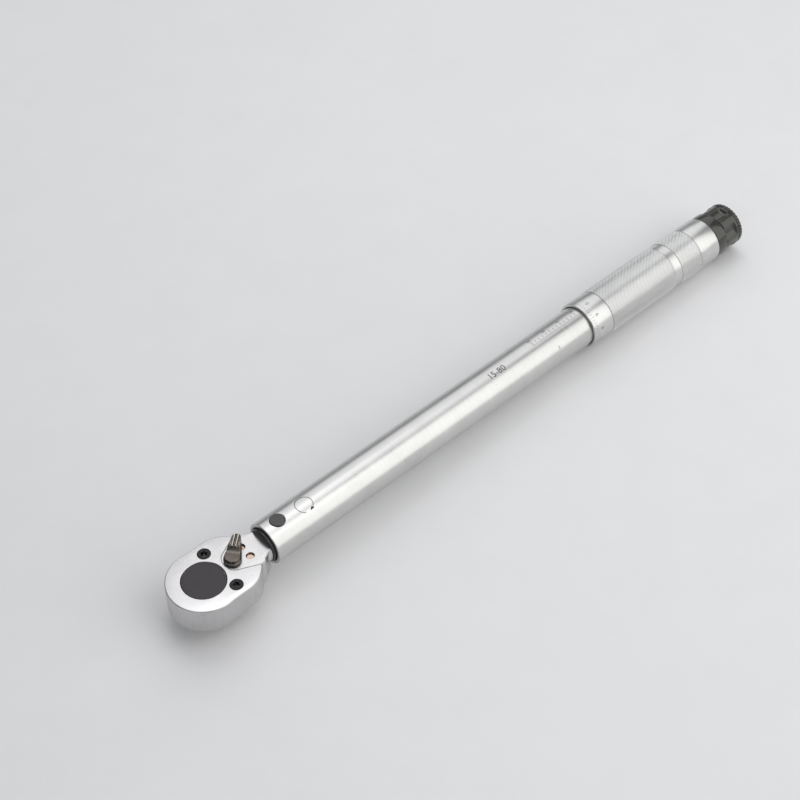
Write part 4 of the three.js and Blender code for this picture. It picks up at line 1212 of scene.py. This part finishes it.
lever = lever_shape()
lever.name = "thumb_lever"
post = lathe(
    "post",
    [
        (POCKET_FLOOR - 1.1, 0),
        (POCKET_FLOOR - 1.1, POST_R, 0.2),
        (POCKET_FLOOR - 0.65, POST_R),
        (POCKET_FLOOR - 0.65, 1.6),
        (POCKET_FLOOR - 0.05, 1.6),
        (POCKET_FLOOR - 0.05, POST_R),
        (LEVER_BASE + 0.6, POST_R),
        (LEVER_BASE + 0.6, 0),
    ],
    LEVER_FINISH,
    steps=48,
    upright=(0, 0),
)
combine(lever, post, "UNION", 50)
ball_room = rod_x("ball_room", -3.3, 1.1, 0.8, 32)
ball_room.data.transform(Matrix.Translation((0, 0, (POCKET_FLOOR + GEAR_TOP) / 2 * MM)))
cut(lever, ball_room, 50)
lever.data.transform(Matrix.Rotation(LEVER_TURN, 4, "Z"))
lever.data.transform(Matrix.Translation((LEVER_X * MM, 0, 0)))
lever.data.materials.clear()
lever.data.materials.append(LEVER_FINISH)
for face in lever.data.polygons:
    face.material_index = 0
dress(lever, "lever", "bronze_lever", "reversing_lever")

# %% [markdown]
# ## The tube, its mouth ring and the pivot pin
# The tube is drawn steel, turned, drilled across for the pivot pin and plated. Its
# mouth is chamfered and filled by a black ring. The pin is pressed through and its flat
# ends stand just proud, each with a small chamfer.

# %% Tube
tube = lathe(
    "tube_body",
    [
        (TUBE_START, TUBE_BORE, 0.15),
        (TUBE_START, TUBE_R, 0.5),
        (TUBE_END, TUBE_R, 0.2),
        (TUBE_END, TUBE_BORE, 0.1),
    ],
    SATIN_TUBE,
    closed=True,
    steps=128,
)


def pin_hole_cutter(radius, mouth):
    profile = [
        (-30, 0),
        (-30, radius + mouth),
        (-TUBE_R, radius + mouth),
        (-TUBE_R + 0.75, radius),
        (TUBE_R - 0.75, radius),
        (TUBE_R, radius + mouth),
        (30, radius + mouth),
        (30, 0),
    ]
    return lathe("pin_hole", profile, STEEL, steps=64, upright=(PIVOT_X, 0))


cut(tube, pin_hole_cutter(PIVOT_R + 0.04, 0.12), 40)
cut(tube, rod_z("bush_pin_holes", BUSH_PIN_X, 0, -30, 30, BUSH_PIN_HOLE, 32), 40)
dress(tube, "barrel", "satin_chrome", "tube")

# %% Pivot pin
PIN_REACH = TUBE_R + 0.4
half_pin = [
    (PIN_REACH - 0.35, PIVOT_R, 0.15),
    (PIN_REACH - 0.02, PIVOT_R - 0.33, 0.15),
    (PIN_REACH, 0.6),
    (PIN_REACH, 0),
]
profile = [(-p[0], *p[1:]) for p in reversed(half_pin)] + half_pin
pivot = lathe("pivot_pin_dark", profile, PIN_STEEL, steps=64, upright=(PIVOT_X, 0))
dress(pivot, "barrel", "dark_steel", "pivot_pin")

# %% Mouth ring
ring = lathe(
    "mouth_ring",
    [
        (TUBE_START - 1.6, 0),
        (TUBE_START - 1.6, 8.5, 0.8),
        (TUBE_START + 0.4, 8.5, 0.1),
        (TUBE_START + 0.5, 8.3, 0.1),
        (TUBE_START + 0.9, 8.3, 0.1),
        (TUBE_START + 1.0, 8.5, 0.1),
        (TUBE_START + 2.2, 8.5, 0.1),
        (TUBE_START + 2.2, 0),
    ],
    RUBBER,
    steps=96,
)
cut(ring, shank("ring_bore", TUBE_START - 5, 0.05))
dress(ring, "head", "black_rubber", "dust_ring")

# %% [markdown]
# ## The handle
# The handle is one turned sleeve: a smooth graduated band, a long knurl, a grip groove,
# a shorter knurl and a smooth end. The smooth parts come from the lathe. The knurl is
# a rule: two families of V grooves that cross and leave small flat-topped diamonds.
# Geometry Nodes makes it from a flat grid. Each grid point gets a height from its
# distance to the nearest groove of either family, and is then wrapped round the axis,
# so the whole band is one closed ring and not thousands of loose pyramids.

# %% Sleeve
SLEEVE_START, BAND_END = 239.3, 252.8
GROOVE_START, GROOVE_END = 299.5, 304.5
REAR_BAND, SLEEVE_END = 319.5, 333.0
SLEEVE_R, BAND_R, SLEEVE_BORE, CORE_R = 12.4, 12.25, 10.85, 11.9
sleeve = lathe(
    "handle_sleeve_turned",
    [
        (SLEEVE_START, SLEEVE_BORE, 0.3),
        (SLEEVE_START, BAND_R, 0.45),
        (BAND_END - 0.35, BAND_R, 0.08),
        (BAND_END - 0.2, BAND_R - 0.16, 0.03),
        (BAND_END - 0.05, BAND_R - 0.16, 0.03),
        (BAND_END + 0.05, CORE_R),
        (GROOVE_START - 0.15, CORE_R),
        (GROOVE_START, 12.1, 0.1),
        (GROOVE_START + 0.3, 12.05, 0.2),
        (GROOVE_END - 0.3, 12.05, 0.2),
        (GROOVE_END, 12.1, 0.1),
        (GROOVE_END + 0.15, CORE_R),
        (REAR_BAND - 0.1, CORE_R),
        (REAR_BAND, BAND_R, 0.1),
        (SLEEVE_END, BAND_R, 0.45),
        (SLEEVE_END, SLEEVE_BORE, 0.1),
    ],
    SATIN_HANDLE,
    closed=True,
    steps=160,
)
dress(sleeve, "handle", "satin_chrome", "handle_sleeve")


# %% Knurl tree
KNURL_FLANK = 0.36  # share of half a diamond that the groove's flank takes
KNURL_WELD = 0.000004  # metres


def knurl_tree():
    tree, given, result = node_group(
        "diamond_knurl_band",
        [
            ("Start", "NodeSocketFloat", 0.2528),
            ("Length", "NodeSocketFloat", 0.0467),
            ("Crest radius", "NodeSocketFloat", 0.0124),
            ("Depth", "NodeSocketFloat", 0.00032),
            ("Core radius", "NodeSocketFloat", 0.0118),
            ("Axis height", "NodeSocketFloat", 0.0213),
            ("Diamonds round", "NodeSocketInt", 72),
            ("Diamonds along", "NodeSocketFloat", 43.0),
            ("Columns", "NodeSocketInt", 289),
            ("Rows", "NodeSocketInt", 176),
            ("Material", "NodeSocketMaterial", None),
        ],
    )
    size = {"Size X": given["Length"], "Size Y": math.tau, "Vertices Y": given["Columns"]}
    grid = step(tree, "GeometryNodeMeshGrid", {**size, "Vertices X": given["Rows"]})
    place = step(tree, "GeometryNodeInputPosition")
    parts = step(tree, "ShaderNodeSeparateXYZ", {0: place}).node.outputs
    share = maths(tree, "ADD", maths(tree, "DIVIDE", parts["X"], given["Length"]), 0.5)
    row = maths(tree, "MULTIPLY", share, given["Diamonds along"])
    turn = maths(tree, "DIVIDE", parts["Y"], math.tau)
    column = maths(tree, "MULTIPLY", turn, given["Diamonds round"])
    heights = []
    for operation in ("ADD", "SUBTRACT"):
        cycle = maths(tree, operation, column, row)
        distance = maths(tree, "PINGPONG", cycle, 0.5)
        climb = maths(tree, "DIVIDE", distance, KNURL_FLANK)
        heights.append(maths(tree, "MINIMUM", climb, 1.0))
    height = maths(tree, "MINIMUM", *heights)
    sunk = maths(tree, "SUBTRACT", 1.0, height)
    depth = maths(tree, "MULTIPLY", sunk, given["Depth"])
    crest = maths(tree, "SUBTRACT", given["Crest radius"], depth)
    edge = maths(tree, "COMPARE", maths(tree, "PINGPONG", share, 0.5), 0.0, 0.0005)
    drop = maths(tree, "MULTIPLY", edge, maths(tree, "SUBTRACT", crest, given["Core radius"]))
    radius = maths(tree, "SUBTRACT", crest, drop)
    outer = wrapped(tree, given, grid, parts, radius)
    inner_grid = step(tree, "GeometryNodeMeshGrid", {**size, "Vertices X": 2})
    flipped = step(tree, "GeometryNodeFlipFaces", {"Mesh": inner_grid})
    inner = wrapped(tree, given, flipped, parts, given["Core radius"])
    both = tree.nodes.new("GeometryNodeJoinGeometry")
    tree.links.new(outer, both.inputs[0])
    tree.links.new(inner, both.inputs[0])
    joining = {"Geometry": both.outputs[0], "Distance": KNURL_WELD}
    weld = step(tree, "GeometryNodeMergeByDistance", joining)
    end_tree(tree, weld, given["Material"], result)
    return tree


def wrapped(tree, given, mesh, parts, radius):
    """Wraps a flat grid round the tube's axis: y becomes the angle."""
    half = maths(tree, "MULTIPLY", given["Length"], 0.5)
    along = maths(tree, "ADD", parts["X"], maths(tree, "ADD", half, given["Start"]))
    across = maths(tree, "MULTIPLY", radius, maths(tree, "COSINE", parts["Y"]))
    sine = maths(tree, "SINE", parts["Y"])
    above = maths(tree, "MULTIPLY_ADD", radius, sine, given["Axis height"])
    moving = {"Geometry": mesh, "Position": vector(tree, along, across, above)}
    return step(tree, "GeometryNodeSetPosition", moving)


KNURL = knurl_tree()
KNURL_ROUND = 72
KNURL_POINTS = 4  # grid points across each diamond
KNURL_PITCH = math.tau * SLEEVE_R / KNURL_ROUND

# %% Knurled bands
def knurled_band(name, start, end):
    along = round((end - start) / KNURL_PITCH)
    band = grow(
        name,
        KNURL,
        {
            "Start": start * MM,
            "Length": (end - start) * MM,
            "Crest radius": (SLEEVE_R - 0.01) * MM,
            "Depth": 0.28 * MM,
            "Core radius": (CORE_R - 0.1) * MM,
            "Axis height": AXIS_Z * MM,
            "Diamonds round": KNURL_ROUND,
            "Diamonds along": float(along),
            "Columns": KNURL_POINTS * KNURL_ROUND + 1,
            "Rows": KNURL_POINTS * along + 1,
            "Material": KNURL_FINISH,
        },
    )
    clean(band, distance=2e-6)
    smooth(band, 25)
    return dress(band, "handle", "satin_chrome")


knurled_band("knurl_front", BAND_END + 0.02, GROOVE_START)
knurled_band("knurl_rear", GROOVE_END, REAR_BAND)

# %% [markdown]
# ## Collar and lock knob
# Behind the sleeve a dark collar is fixed to the handle, and the lock knob turns on its
# hidden neck. The knob is moulded: six shallow scallops for the fingers, and a fine
# serrated rim at its end. Its surface is a rule too: a radius for every angle and
# station, taken where a scallop's own circle cuts the round blank.

# %% Collar
COLLAR_START, COLLAR_END, COLLAR_R, COLLAR_BORE = 333.3, 340.0, 11.9, 2.1
NECK_R, NECK_STOP = 5.6, 348.6
CLIP_GROOVE, CLIP_GROOVE_R = (346.95, 347.75), 4.8
collar = lathe(
    "lock_collar_dark",
    [
        (COLLAR_START, COLLAR_BORE),
        (COLLAR_START, COLLAR_R, 0.5),
        (COLLAR_END, COLLAR_R, 0.9),
        (COLLAR_END, NECK_R),
        (CLIP_GROOVE[0], NECK_R),
        (CLIP_GROOVE[0], CLIP_GROOVE_R),
        (CLIP_GROOVE[1], CLIP_GROOVE_R),
        (CLIP_GROOVE[1], NECK_R),
        (NECK_STOP, NECK_R, 0.2),
        (NECK_STOP, COLLAR_BORE),
    ],
    KNOB_FINISH,
    closed=True,
    steps=96,
)
dress(collar, "handle", "dark_knob", "lock_collar")


# %% Knob
KNOB_START, KNOB_END, KNOB_R = 340.3, 352.5, 11.4
SCALLOPS, SCALLOP_R, SCALLOP_DEPTH, SCALLOP_END = 6, 7.5, 1.5, 347.9
SERRATIONS, SERRATION_DEPTH = 36, 0.42
KNOB_ROOM = 350.1  # where the hollow inside the knob ends


def ease(value, low, high):
    t = min(max((value - low) / (high - low), 0.0), 1.0)
    return t * t * (3 - 2 * t)


def scallop(angle):
    """How far the nearest scallop's circle cuts into the round blank at an angle."""
    away = KNOB_R - SCALLOP_DEPTH + SCALLOP_R
    sector = math.tau / SCALLOPS
    off = (angle % sector) - sector / 2
    inside = SCALLOP_R**2 - (away * math.sin(off)) ** 2
    if inside <= 0:
        return 0.0
    return max(KNOB_R - (away * math.cos(off) - math.sqrt(inside)), 0.0)


def serration(angle):
    pitch = math.tau / SERRATIONS
    off = abs((angle + pitch / 2) % pitch - pitch / 2) / pitch
    return SERRATION_DEPTH * (1 - ease(off, 0.12, 0.24))


def knob_profile():
    """Stations from the front bore round to the end's middle: x, radius, pattern."""
    outer = [(KNOB_START, 10.5, 0.0), (KNOB_START + 0.12, 10.95, 0.3)]
    outer += [(KNOB_START + 0.4, 11.28, 0.8)]
    outer += [(x, KNOB_R, 1.0) for x in np.linspace(KNOB_START + 0.8, 349.3, 30)]
    outer += [(349.6, 11.05, 1.0), (349.9, 11.05, 1.0), (350.2, 11.38, 1.0)]
    outer += [(x, KNOB_R, 1.0) for x in np.linspace(350.3, 351.6, 8)]
    outer += [(351.95, 11.3, 1.0), (352.25, 11.0, 1.0), (352.42, 10.6, 0.8)]
    outer += [(KNOB_END, 10.1, 0.0)]
    sunk = KNOB_END - 0.3
    cap = [(KNOB_END, 9.3), (KNOB_END - 0.25, 9.0), (sunk, 4.0), (sunk, 0.0)]
    return outer + [(x, r, 0.0) for x, r in cap]


def knob_inside():
    return [
        (KNOB_ROOM, 0.0, 0.0),
        (KNOB_ROOM, 7.0, 0.0),
        (346.9, 7.0, 0.0),
        (346.9, 5.7, 0.0),
        (KNOB_START, 5.7, 0.0),
    ]


def make_knob(steps=360):
    stations = knob_inside() + knob_profile()
    points, rings = [], []
    for x, r, share in stations:
        if r == 0:
            rings.append([len(points)])
            points.append((x, 0, 0))
            continue
        into = min(max((x - SCALLOP_END + 1.9) / 2.2, 0.0), 1.0)
        fade = math.sqrt(1 - into * into)
        rim = ease(x, 350.15, 350.35)
        ring = []
        for k in range(steps):
            angle = math.tau * k / steps
            cut = share * (fade * scallop(angle) + rim * serration(angle))
            ring.append(len(points))
            points.append((x, (r - cut) * math.cos(angle), (r - cut) * math.sin(angle)))
        rings.append(ring)
    faces = []
    for one, two in zip(rings, rings[1:]):
        faces += band_faces(one, two, steps)
    return add_piece("lobed_lock_knob", points, faces, KNOB_FINISH, sharp=32)


knob = make_knob()
dress(knob, "knob", "dark_knob", "lock_knob")

# %% [markdown]
# ## Markings
# The tube carries a turning-direction arrow, the torque range and a scale; the handle's
# band carries fine lines and numbers. They are made as thin inlays wrapped round the
# metal, because print on plating has a hard edge that a blurred pattern can't give. The
# numbers are plain figures in Blender's own font.


# %% Wrapping flat artwork round the tube
PRINT_HALF = 0.012  # half the print's thickness, and how far its middle is lifted
FONT_SIZE_PER_HEIGHT = 1.37


def wrap(mesh, x, angle, radius, turn=0.0):
    """Flat artwork in millimetres, laid round the axis at an angle from the top."""
    cosine, sine = math.cos(turn), math.sin(turn)
    for vertex in mesh.vertices:
        u, v, w = vertex.co
        along = u * cosine - v * sine
        around = u * sine + v * cosine
        at = math.radians(angle) + around / radius
        r = radius + w + PRINT_HALF
        height = AXIS_Z + r * math.cos(at)
        vertex.co = ((x + along) * MM, r * math.sin(at) * MM, height * MM)


def flat_text(words, height):
    curve = bpy.data.curves.new("figures", "FONT")
    curve.body = words
    curve.size = height * FONT_SIZE_PER_HEIGHT
    curve.align_x = "CENTER"
    curve.align_y = "CENTER"
    curve.extrude = PRINT_HALF
    curve.resolution_u = 3
    holder = bpy.data.objects.new("figures", curve)
    bpy.context.scene.collection.objects.link(holder)
    mesh = plain_mesh(holder)
    bpy.data.objects.remove(holder)
    bpy.data.curves.remove(curve)
    return mesh


def sliced(mesh, step=0.4):
    """Cuts flat artwork into strips both ways, so that it can bend smoothly."""
    work = bmesh.new()
    work.from_mesh(mesh)
    for axis in (0, 1):
        values = [v.co[axis] for v in work.verts]
        for cut_at in np.arange(min(values) + step, max(values), step):
            normal = [0, 0, 0]
            normal[axis] = 1
            place = [0, 0, 0]
            place[axis] = cut_at
            parts = work.verts[:] + work.edges[:] + work.faces[:]
            bmesh.ops.bisect_plane(work, geom=parts, plane_co=place, plane_no=normal)
    work.to_mesh(mesh)
    work.free()
    return mesh


def line_mesh(points, width):
    """A flat closed strip along a list of points, with a little thickness."""
    left, right = [], []
    for i, p in enumerate(points):
        a, b = points[max(i - 1, 0)], points[min(i + 1, len(points) - 1)]
        along = Vector((b[0] - a[0], b[1] - a[1])).normalized()
        side = Vector((-along.y, along.x)) * width / 2
        left.append((p[0] + side.x, p[1] + side.y))
        right.append((p[0] - side.x, p[1] - side.y))
    return solid_outline(left + right[::-1], len(points))


def solid_outline(outline, count):
    verts = [(x, y, z) for z in (-PRINT_HALF, PRINT_HALF) for x, y in outline]
    total = len(outline)
    faces = []
    for i in range(count - 1):
        a, b, c, d = i, i + 1, total - 2 - i, total - 1 - i
        faces.append((a + total, d + total, c + total, b + total))
        faces.append((a, b, c, d))
    for i in range(total):
        j = (i + 1) % total
        faces.append((i, i + total, j + total, j))
    mesh = bpy.data.meshes.new("strip")
    mesh.from_pydata(verts, [], faces)
    return mesh


def gather(name, meshes, body, finish_used, slot):
    """Many wrapped meshes become one marking."""
    work = bmesh.new()
    for mesh in meshes:
        work.from_mesh(mesh)
        bpy.data.meshes.remove(mesh)
    bmesh.ops.remove_doubles(work, verts=work.verts, dist=1e-8)
    bmesh.ops.recalc_face_normals(work, faces=work.faces)
    mesh = bpy.data.meshes.new(name)
    work.to_mesh(mesh)
    work.free()
    mesh.materials.append(finish_used)
    for face in mesh.polygons:
        face.material_index = 0
    piece = bpy.data.objects.new(name, mesh)
    bpy.context.scene.collection.objects.link(piece)
    return dress(piece, body, slot)


# %% Marks on the tube
def tube_marks():
    meshes = []
    centre, r, tip = 57.8, 4.3, math.radians(-72)
    turn = np.linspace(tip + 0.12, tip + math.radians(318), 72)
    mesh = line_mesh([(r * math.cos(a), r * math.sin(a)) for a in turn], 0.3)
    wrap(mesh, centre, -6, TUBE_R)
    meshes.append(mesh)
    point = (r * math.cos(tip - 0.18), r * math.sin(tip - 0.18))
    back = tip + 0.34
    wide = [((r + w) * math.cos(back), (r + w) * math.sin(back)) for w in (-0.85, 0.85)]
    mesh = solid_triangle([wide[0], point, wide[1]])
    wrap(sliced(mesh), centre, -6, TUBE_R)
    meshes.append(mesh)
    mesh = sliced(flat_text("15-80", 3.5))
    wrap(mesh, 180.0, -10, TUBE_R)
    meshes.append(mesh)
    return meshes


def solid_triangle(points):
    verts = [(x, y, z) for z in (-PRINT_HALF, PRINT_HALF) for x, y in points]
    faces = [(0, 2, 1), (3, 4, 5), (0, 1, 4, 3), (1, 2, 5, 4), (2, 0, 3, 5)]
    mesh = bpy.data.meshes.new("arrow_head")
    mesh.from_pydata(verts, [], faces)
    return mesh


gather("tube_print", tube_marks(), "barrel", INK, "satin_chrome")

# %% [markdown]
# The scale's lines repeat at even steps, so Geometry Nodes makes them as well: one tree
# lays thin bars along the tube or round the band, and makes every fifth bar longer.


# %% Tick tree
TICK_THICKNESS = 0.00004  # metres


def tick_tree():
    tree, given, result = node_group(
        "even_ticks_on_a_cylinder",
        [
            ("Count", "NodeSocketInt", 10),
            ("Start", "NodeSocketFloat", 0.2),
            ("Step along", "NodeSocketFloat", 0.0025),
            ("First angle", "NodeSocketFloat", 0.0),
            ("Step angle", "NodeSocketFloat", 0.0),
            ("Radius", "NodeSocketFloat", 0.0106),
            ("Axis height", "NodeSocketFloat", 0.0213),
            ("Size along", "NodeSocketFloat", 0.0002),
            ("Size across", "NodeSocketFloat", 0.003),
            ("Short share", "NodeSocketFloat", 0.6),
            ("Along is long", "NodeSocketFloat", 0.0),
            ("Material", "NodeSocketMaterial", None),
        ],
    )
    points = step(tree, "GeometryNodePoints", {"Count": given["Count"]})
    index = step(tree, "GeometryNodeInputIndex")
    along = maths(tree, "MULTIPLY_ADD", index, given["Step along"], given["Start"])
    angle = maths(tree, "MULTIPLY_ADD", index, given["Step angle"], given["First angle"])
    fifth = maths(tree, "COMPARE", maths(tree, "MODULO", index, 5.0), 0.0, 0.1)
    rest = maths(tree, "SUBTRACT", 1.0, given["Short share"])
    long = maths(tree, "MULTIPLY_ADD", fifth, rest, given["Short share"])
    size = vector(tree, given["Size along"], given["Size across"], TICK_THICKNESS)
    bar = step(tree, "GeometryNodeMeshCube", {"Size": size}, "Mesh")
    radius = given["Radius"]
    across = maths(tree, "MULTIPLY", radius, maths(tree, "SINE", angle))
    cosine = maths(tree, "COSINE", angle)
    up = maths(tree, "MULTIPLY_ADD", radius, cosine, given["Axis height"])
    moving = {"Geometry": points, "Position": vector(tree, along, across, up)}
    moved = step(tree, "GeometryNodeSetPosition", moving)
    less = maths(tree, "SUBTRACT", long, 1.0)
    flat = maths(tree, "SUBTRACT", 1.0, given["Along is long"])
    along_share = maths(tree, "MULTIPLY_ADD", given["Along is long"], less, 1.0)
    across_share = maths(tree, "MULTIPLY_ADD", flat, less, 1.0)
    placing = {
        "Points": moved,
        "Instance": bar,
        "Rotation": vector(tree, x=maths(tree, "MULTIPLY", angle, -1.0)),
        "Scale": vector(tree, along_share, across_share, 1.0),
    }
    put = step(tree, "GeometryNodeInstanceOnPoints", placing)
    end_tree(tree, put, given["Material"], result)
    return tree


TICKS = tick_tree()


SHORT_SHARE = 0.6  # a short line's length against every fifth line's


def ticks(name, body, count, start, radius, size, step_along=0.0, first=0.0, around=0.0):
    """Even lines in millimetres and degrees, spaced along the axis or around it."""
    piece = grow(
        name,
        TICKS,
        {
            "Count": count,
            "Start": start * MM,
            "Step along": step_along * MM,
            "First angle": math.radians(first),
            "Step angle": math.radians(around),
            "Radius": radius * MM,
            "Axis height": AXIS_Z * MM,
            "Size along": size[0] * MM,
            "Size across": size[1] * MM,
            "Short share": SHORT_SHARE,
            "Along is long": 1.0 if around else 0.0,
            "Material": SCALE_INK,
        },
    )
    return dress(piece, body, "satin_chrome")


# %% Scale lines on the tube and on the handle's band
SCALE_START, SCALE_STEP, SCALE_TICKS = 206.0, 2.5, 14
BAND_TICKS = 50
ticks(
    "tube_scale_lines",
    "barrel",
    SCALE_TICKS,
    SCALE_START,
    TUBE_R,
    (0.25, 2.3),
    step_along=SCALE_STEP,
    first=1,
)
ticks(
    "band_scale_lines",
    "handle",
    BAND_TICKS,
    SLEEVE_START + 2.0,
    BAND_R,
    (2.6, 0.16),
    around=360 / BAND_TICKS,
)

# %% Numbers on the scales
def scale_numbers():
    meshes = []
    for i, words in enumerate(("80", "60", "40", "20")):
        mesh = sliced(flat_text(words, 1.7))
        wrap(mesh, SCALE_START + 4 * SCALE_STEP * i, 13, TUBE_R)
        meshes.append(mesh)
    line = [(x, 0) for x in np.linspace(-17, 17, 8)]
    mesh = line_mesh(line, 0.16)
    wrap(mesh, 222.5, -7, TUBE_R)
    meshes.append(mesh)
    mesh = sliced(flat_text("2", 1.8))
    wrap(mesh, 217.0, -52, TUBE_R)
    meshes.append(mesh)
    return meshes


def band_numbers():
    meshes = []
    for i in range(10):
        mesh = sliced(flat_text(str(i), 2.2))
        wrap(mesh, SLEEVE_START + 5.6, 36 * i, BAND_R, turn=math.pi / 2)
        meshes.append(mesh)
    return meshes


gather("tube_scale_numbers", scale_numbers(), "barrel", SCALE_INK, "satin_chrome")
gather("band_numbers", band_numbers(), "handle", SCALE_INK, "satin_chrome")

# %% [markdown]
# ## Springs
# A coil spring is wire wound to a rule: so many turns, a mean radius and a length.
# Geometry Nodes bends a straight line into the coil and gives it the wire's round
# section. The main spring is pressed shorter as the handle is wound in, and the small
# one as the socket's ball is pushed; here each is wound once, at its part's length.


# %% Spring tree
WIRE_SIDES = 12
COIL_POINTS = 32  # points along each coil


def spring_tree():
    tree, given, result = node_group(
        "coil_spring",
        [
            ("Start", "NodeSocketFloat", 0.0),
            ("Length", "NodeSocketFloat", 0.01),
            ("Mean radius", "NodeSocketFloat", 0.005),
            ("Wire radius", "NodeSocketFloat", 0.001),
            ("Coils", "NodeSocketFloat", 8.0),
            ("Points", "NodeSocketInt", 200),
            ("Material", "NodeSocketMaterial", None),
        ],
    )
    line = step(tree, "GeometryNodeCurvePrimitiveLine")
    sampling = {"Curve": line, "Count": given["Points"]}
    points = step(tree, "GeometryNodeResampleCurve", sampling)
    index = step(tree, "GeometryNodeInputIndex")
    share = maths(tree, "DIVIDE", index, maths(tree, "SUBTRACT", given["Points"], 1.0))
    angle = maths(tree, "MULTIPLY", maths(tree, "MULTIPLY", share, given["Coils"]), math.tau)
    travel = maths(tree, "MULTIPLY_ADD", given["Wire radius"], -2.0, given["Length"])
    begin = maths(tree, "ADD", given["Start"], given["Wire radius"])
    along = maths(tree, "MULTIPLY_ADD", share, travel, begin)
    across = maths(tree, "MULTIPLY", given["Mean radius"], maths(tree, "COSINE", angle))
    above = maths(tree, "MULTIPLY", given["Mean radius"], maths(tree, "SINE", angle))
    moving = {"Geometry": points, "Position": vector(tree, along, across, above)}
    wound = step(tree, "GeometryNodeSetPosition", moving)
    around = {"Resolution": WIRE_SIDES, "Radius": given["Wire radius"]}
    section = step(tree, "GeometryNodeCurvePrimitiveCircle", around)
    sweeping = {"Curve": wound, "Profile Curve": section, "Fill Caps": True}
    wire = step(tree, "GeometryNodeCurveToMesh", sweeping)
    end_tree(tree, wire, given["Material"], result)
    return tree


COIL = spring_tree()


def spring(name, start, length, mean, wire, coils):
    """A coil spring along x at the origin's height, in millimetres."""
    values = {"Start": start * MM, "Length": length * MM, "Mean radius": mean * MM}
    values.update({"Wire radius": wire * MM, "Coils": float(coils)})
    values["Points"] = coils * COIL_POINTS
    values["Material"] = SPRING
    piece = grow(name, COIL, values)
    clean(piece)
    smooth(piece, 40)
    return piece


# %% Main spring
low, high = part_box("main_spring")
main_start, main_length = low.x / MM, (high.x - low.x) / MM
main_spring = spring("main_coil_spring", main_start, main_length, 6.9, 1.75, 18)
main_spring.data.transform(Matrix.Translation((0, 0, AXIS_Z * MM)))
dress(main_spring, "barrel", "spring_steel", "main_spring")
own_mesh(main_spring)

# %% Spring behind the socket's ball
low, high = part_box("drive_ball_spring")
small_length = (high.y - low.y) / MM
small_spring = spring("ball_coil_spring", low.y / MM, small_length, 1.15, 0.28, 5)
small_spring.data.transform(Matrix.Rotation(math.pi / 2, 4, "Z"))
small_spring.data.transform(Matrix.Translation((0, 0, (AXIS_Z + DETENT_Z) * MM)))
dress(small_spring, "drive", "spring_steel", "drive_ball_spring")
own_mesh(small_spring)

# %% [markdown]
# ## Everything inside
# The screw, plunger, pawl and small parts keep their exact shapes from the frame and
# get finishes here: ground steel for turned parts, wire grey for clips and pins, dark
# phosphate for the hardened ones.

# %% Finishes for the inner pieces
INNER = {
    STEEL: [
        "selector_ball",
        "thread_bush",
        "plunger",
        "spring_seat",
        "thrust_ball",
        "adjusting_screw",
        "handle_plug",
    ],
    SPRING: [
        "selector_spring",
        "lever_clip",
        "gear_washer",
        "bush_pin_top",
        "bush_pin_bottom",
        "plug_pin",
        "knob_clip",
    ],
    PIN_STEEL: ["pawl", "tilt_block", "thrust_washer", "lock_rod"],
}
for finish_used, names in INNER.items():
    for name in names:
        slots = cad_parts[name].data.materials
        slots.clear()
        slots.append(finish_used)
print("inner pieces painted:", sum(len(names) for names in INNER.values()))
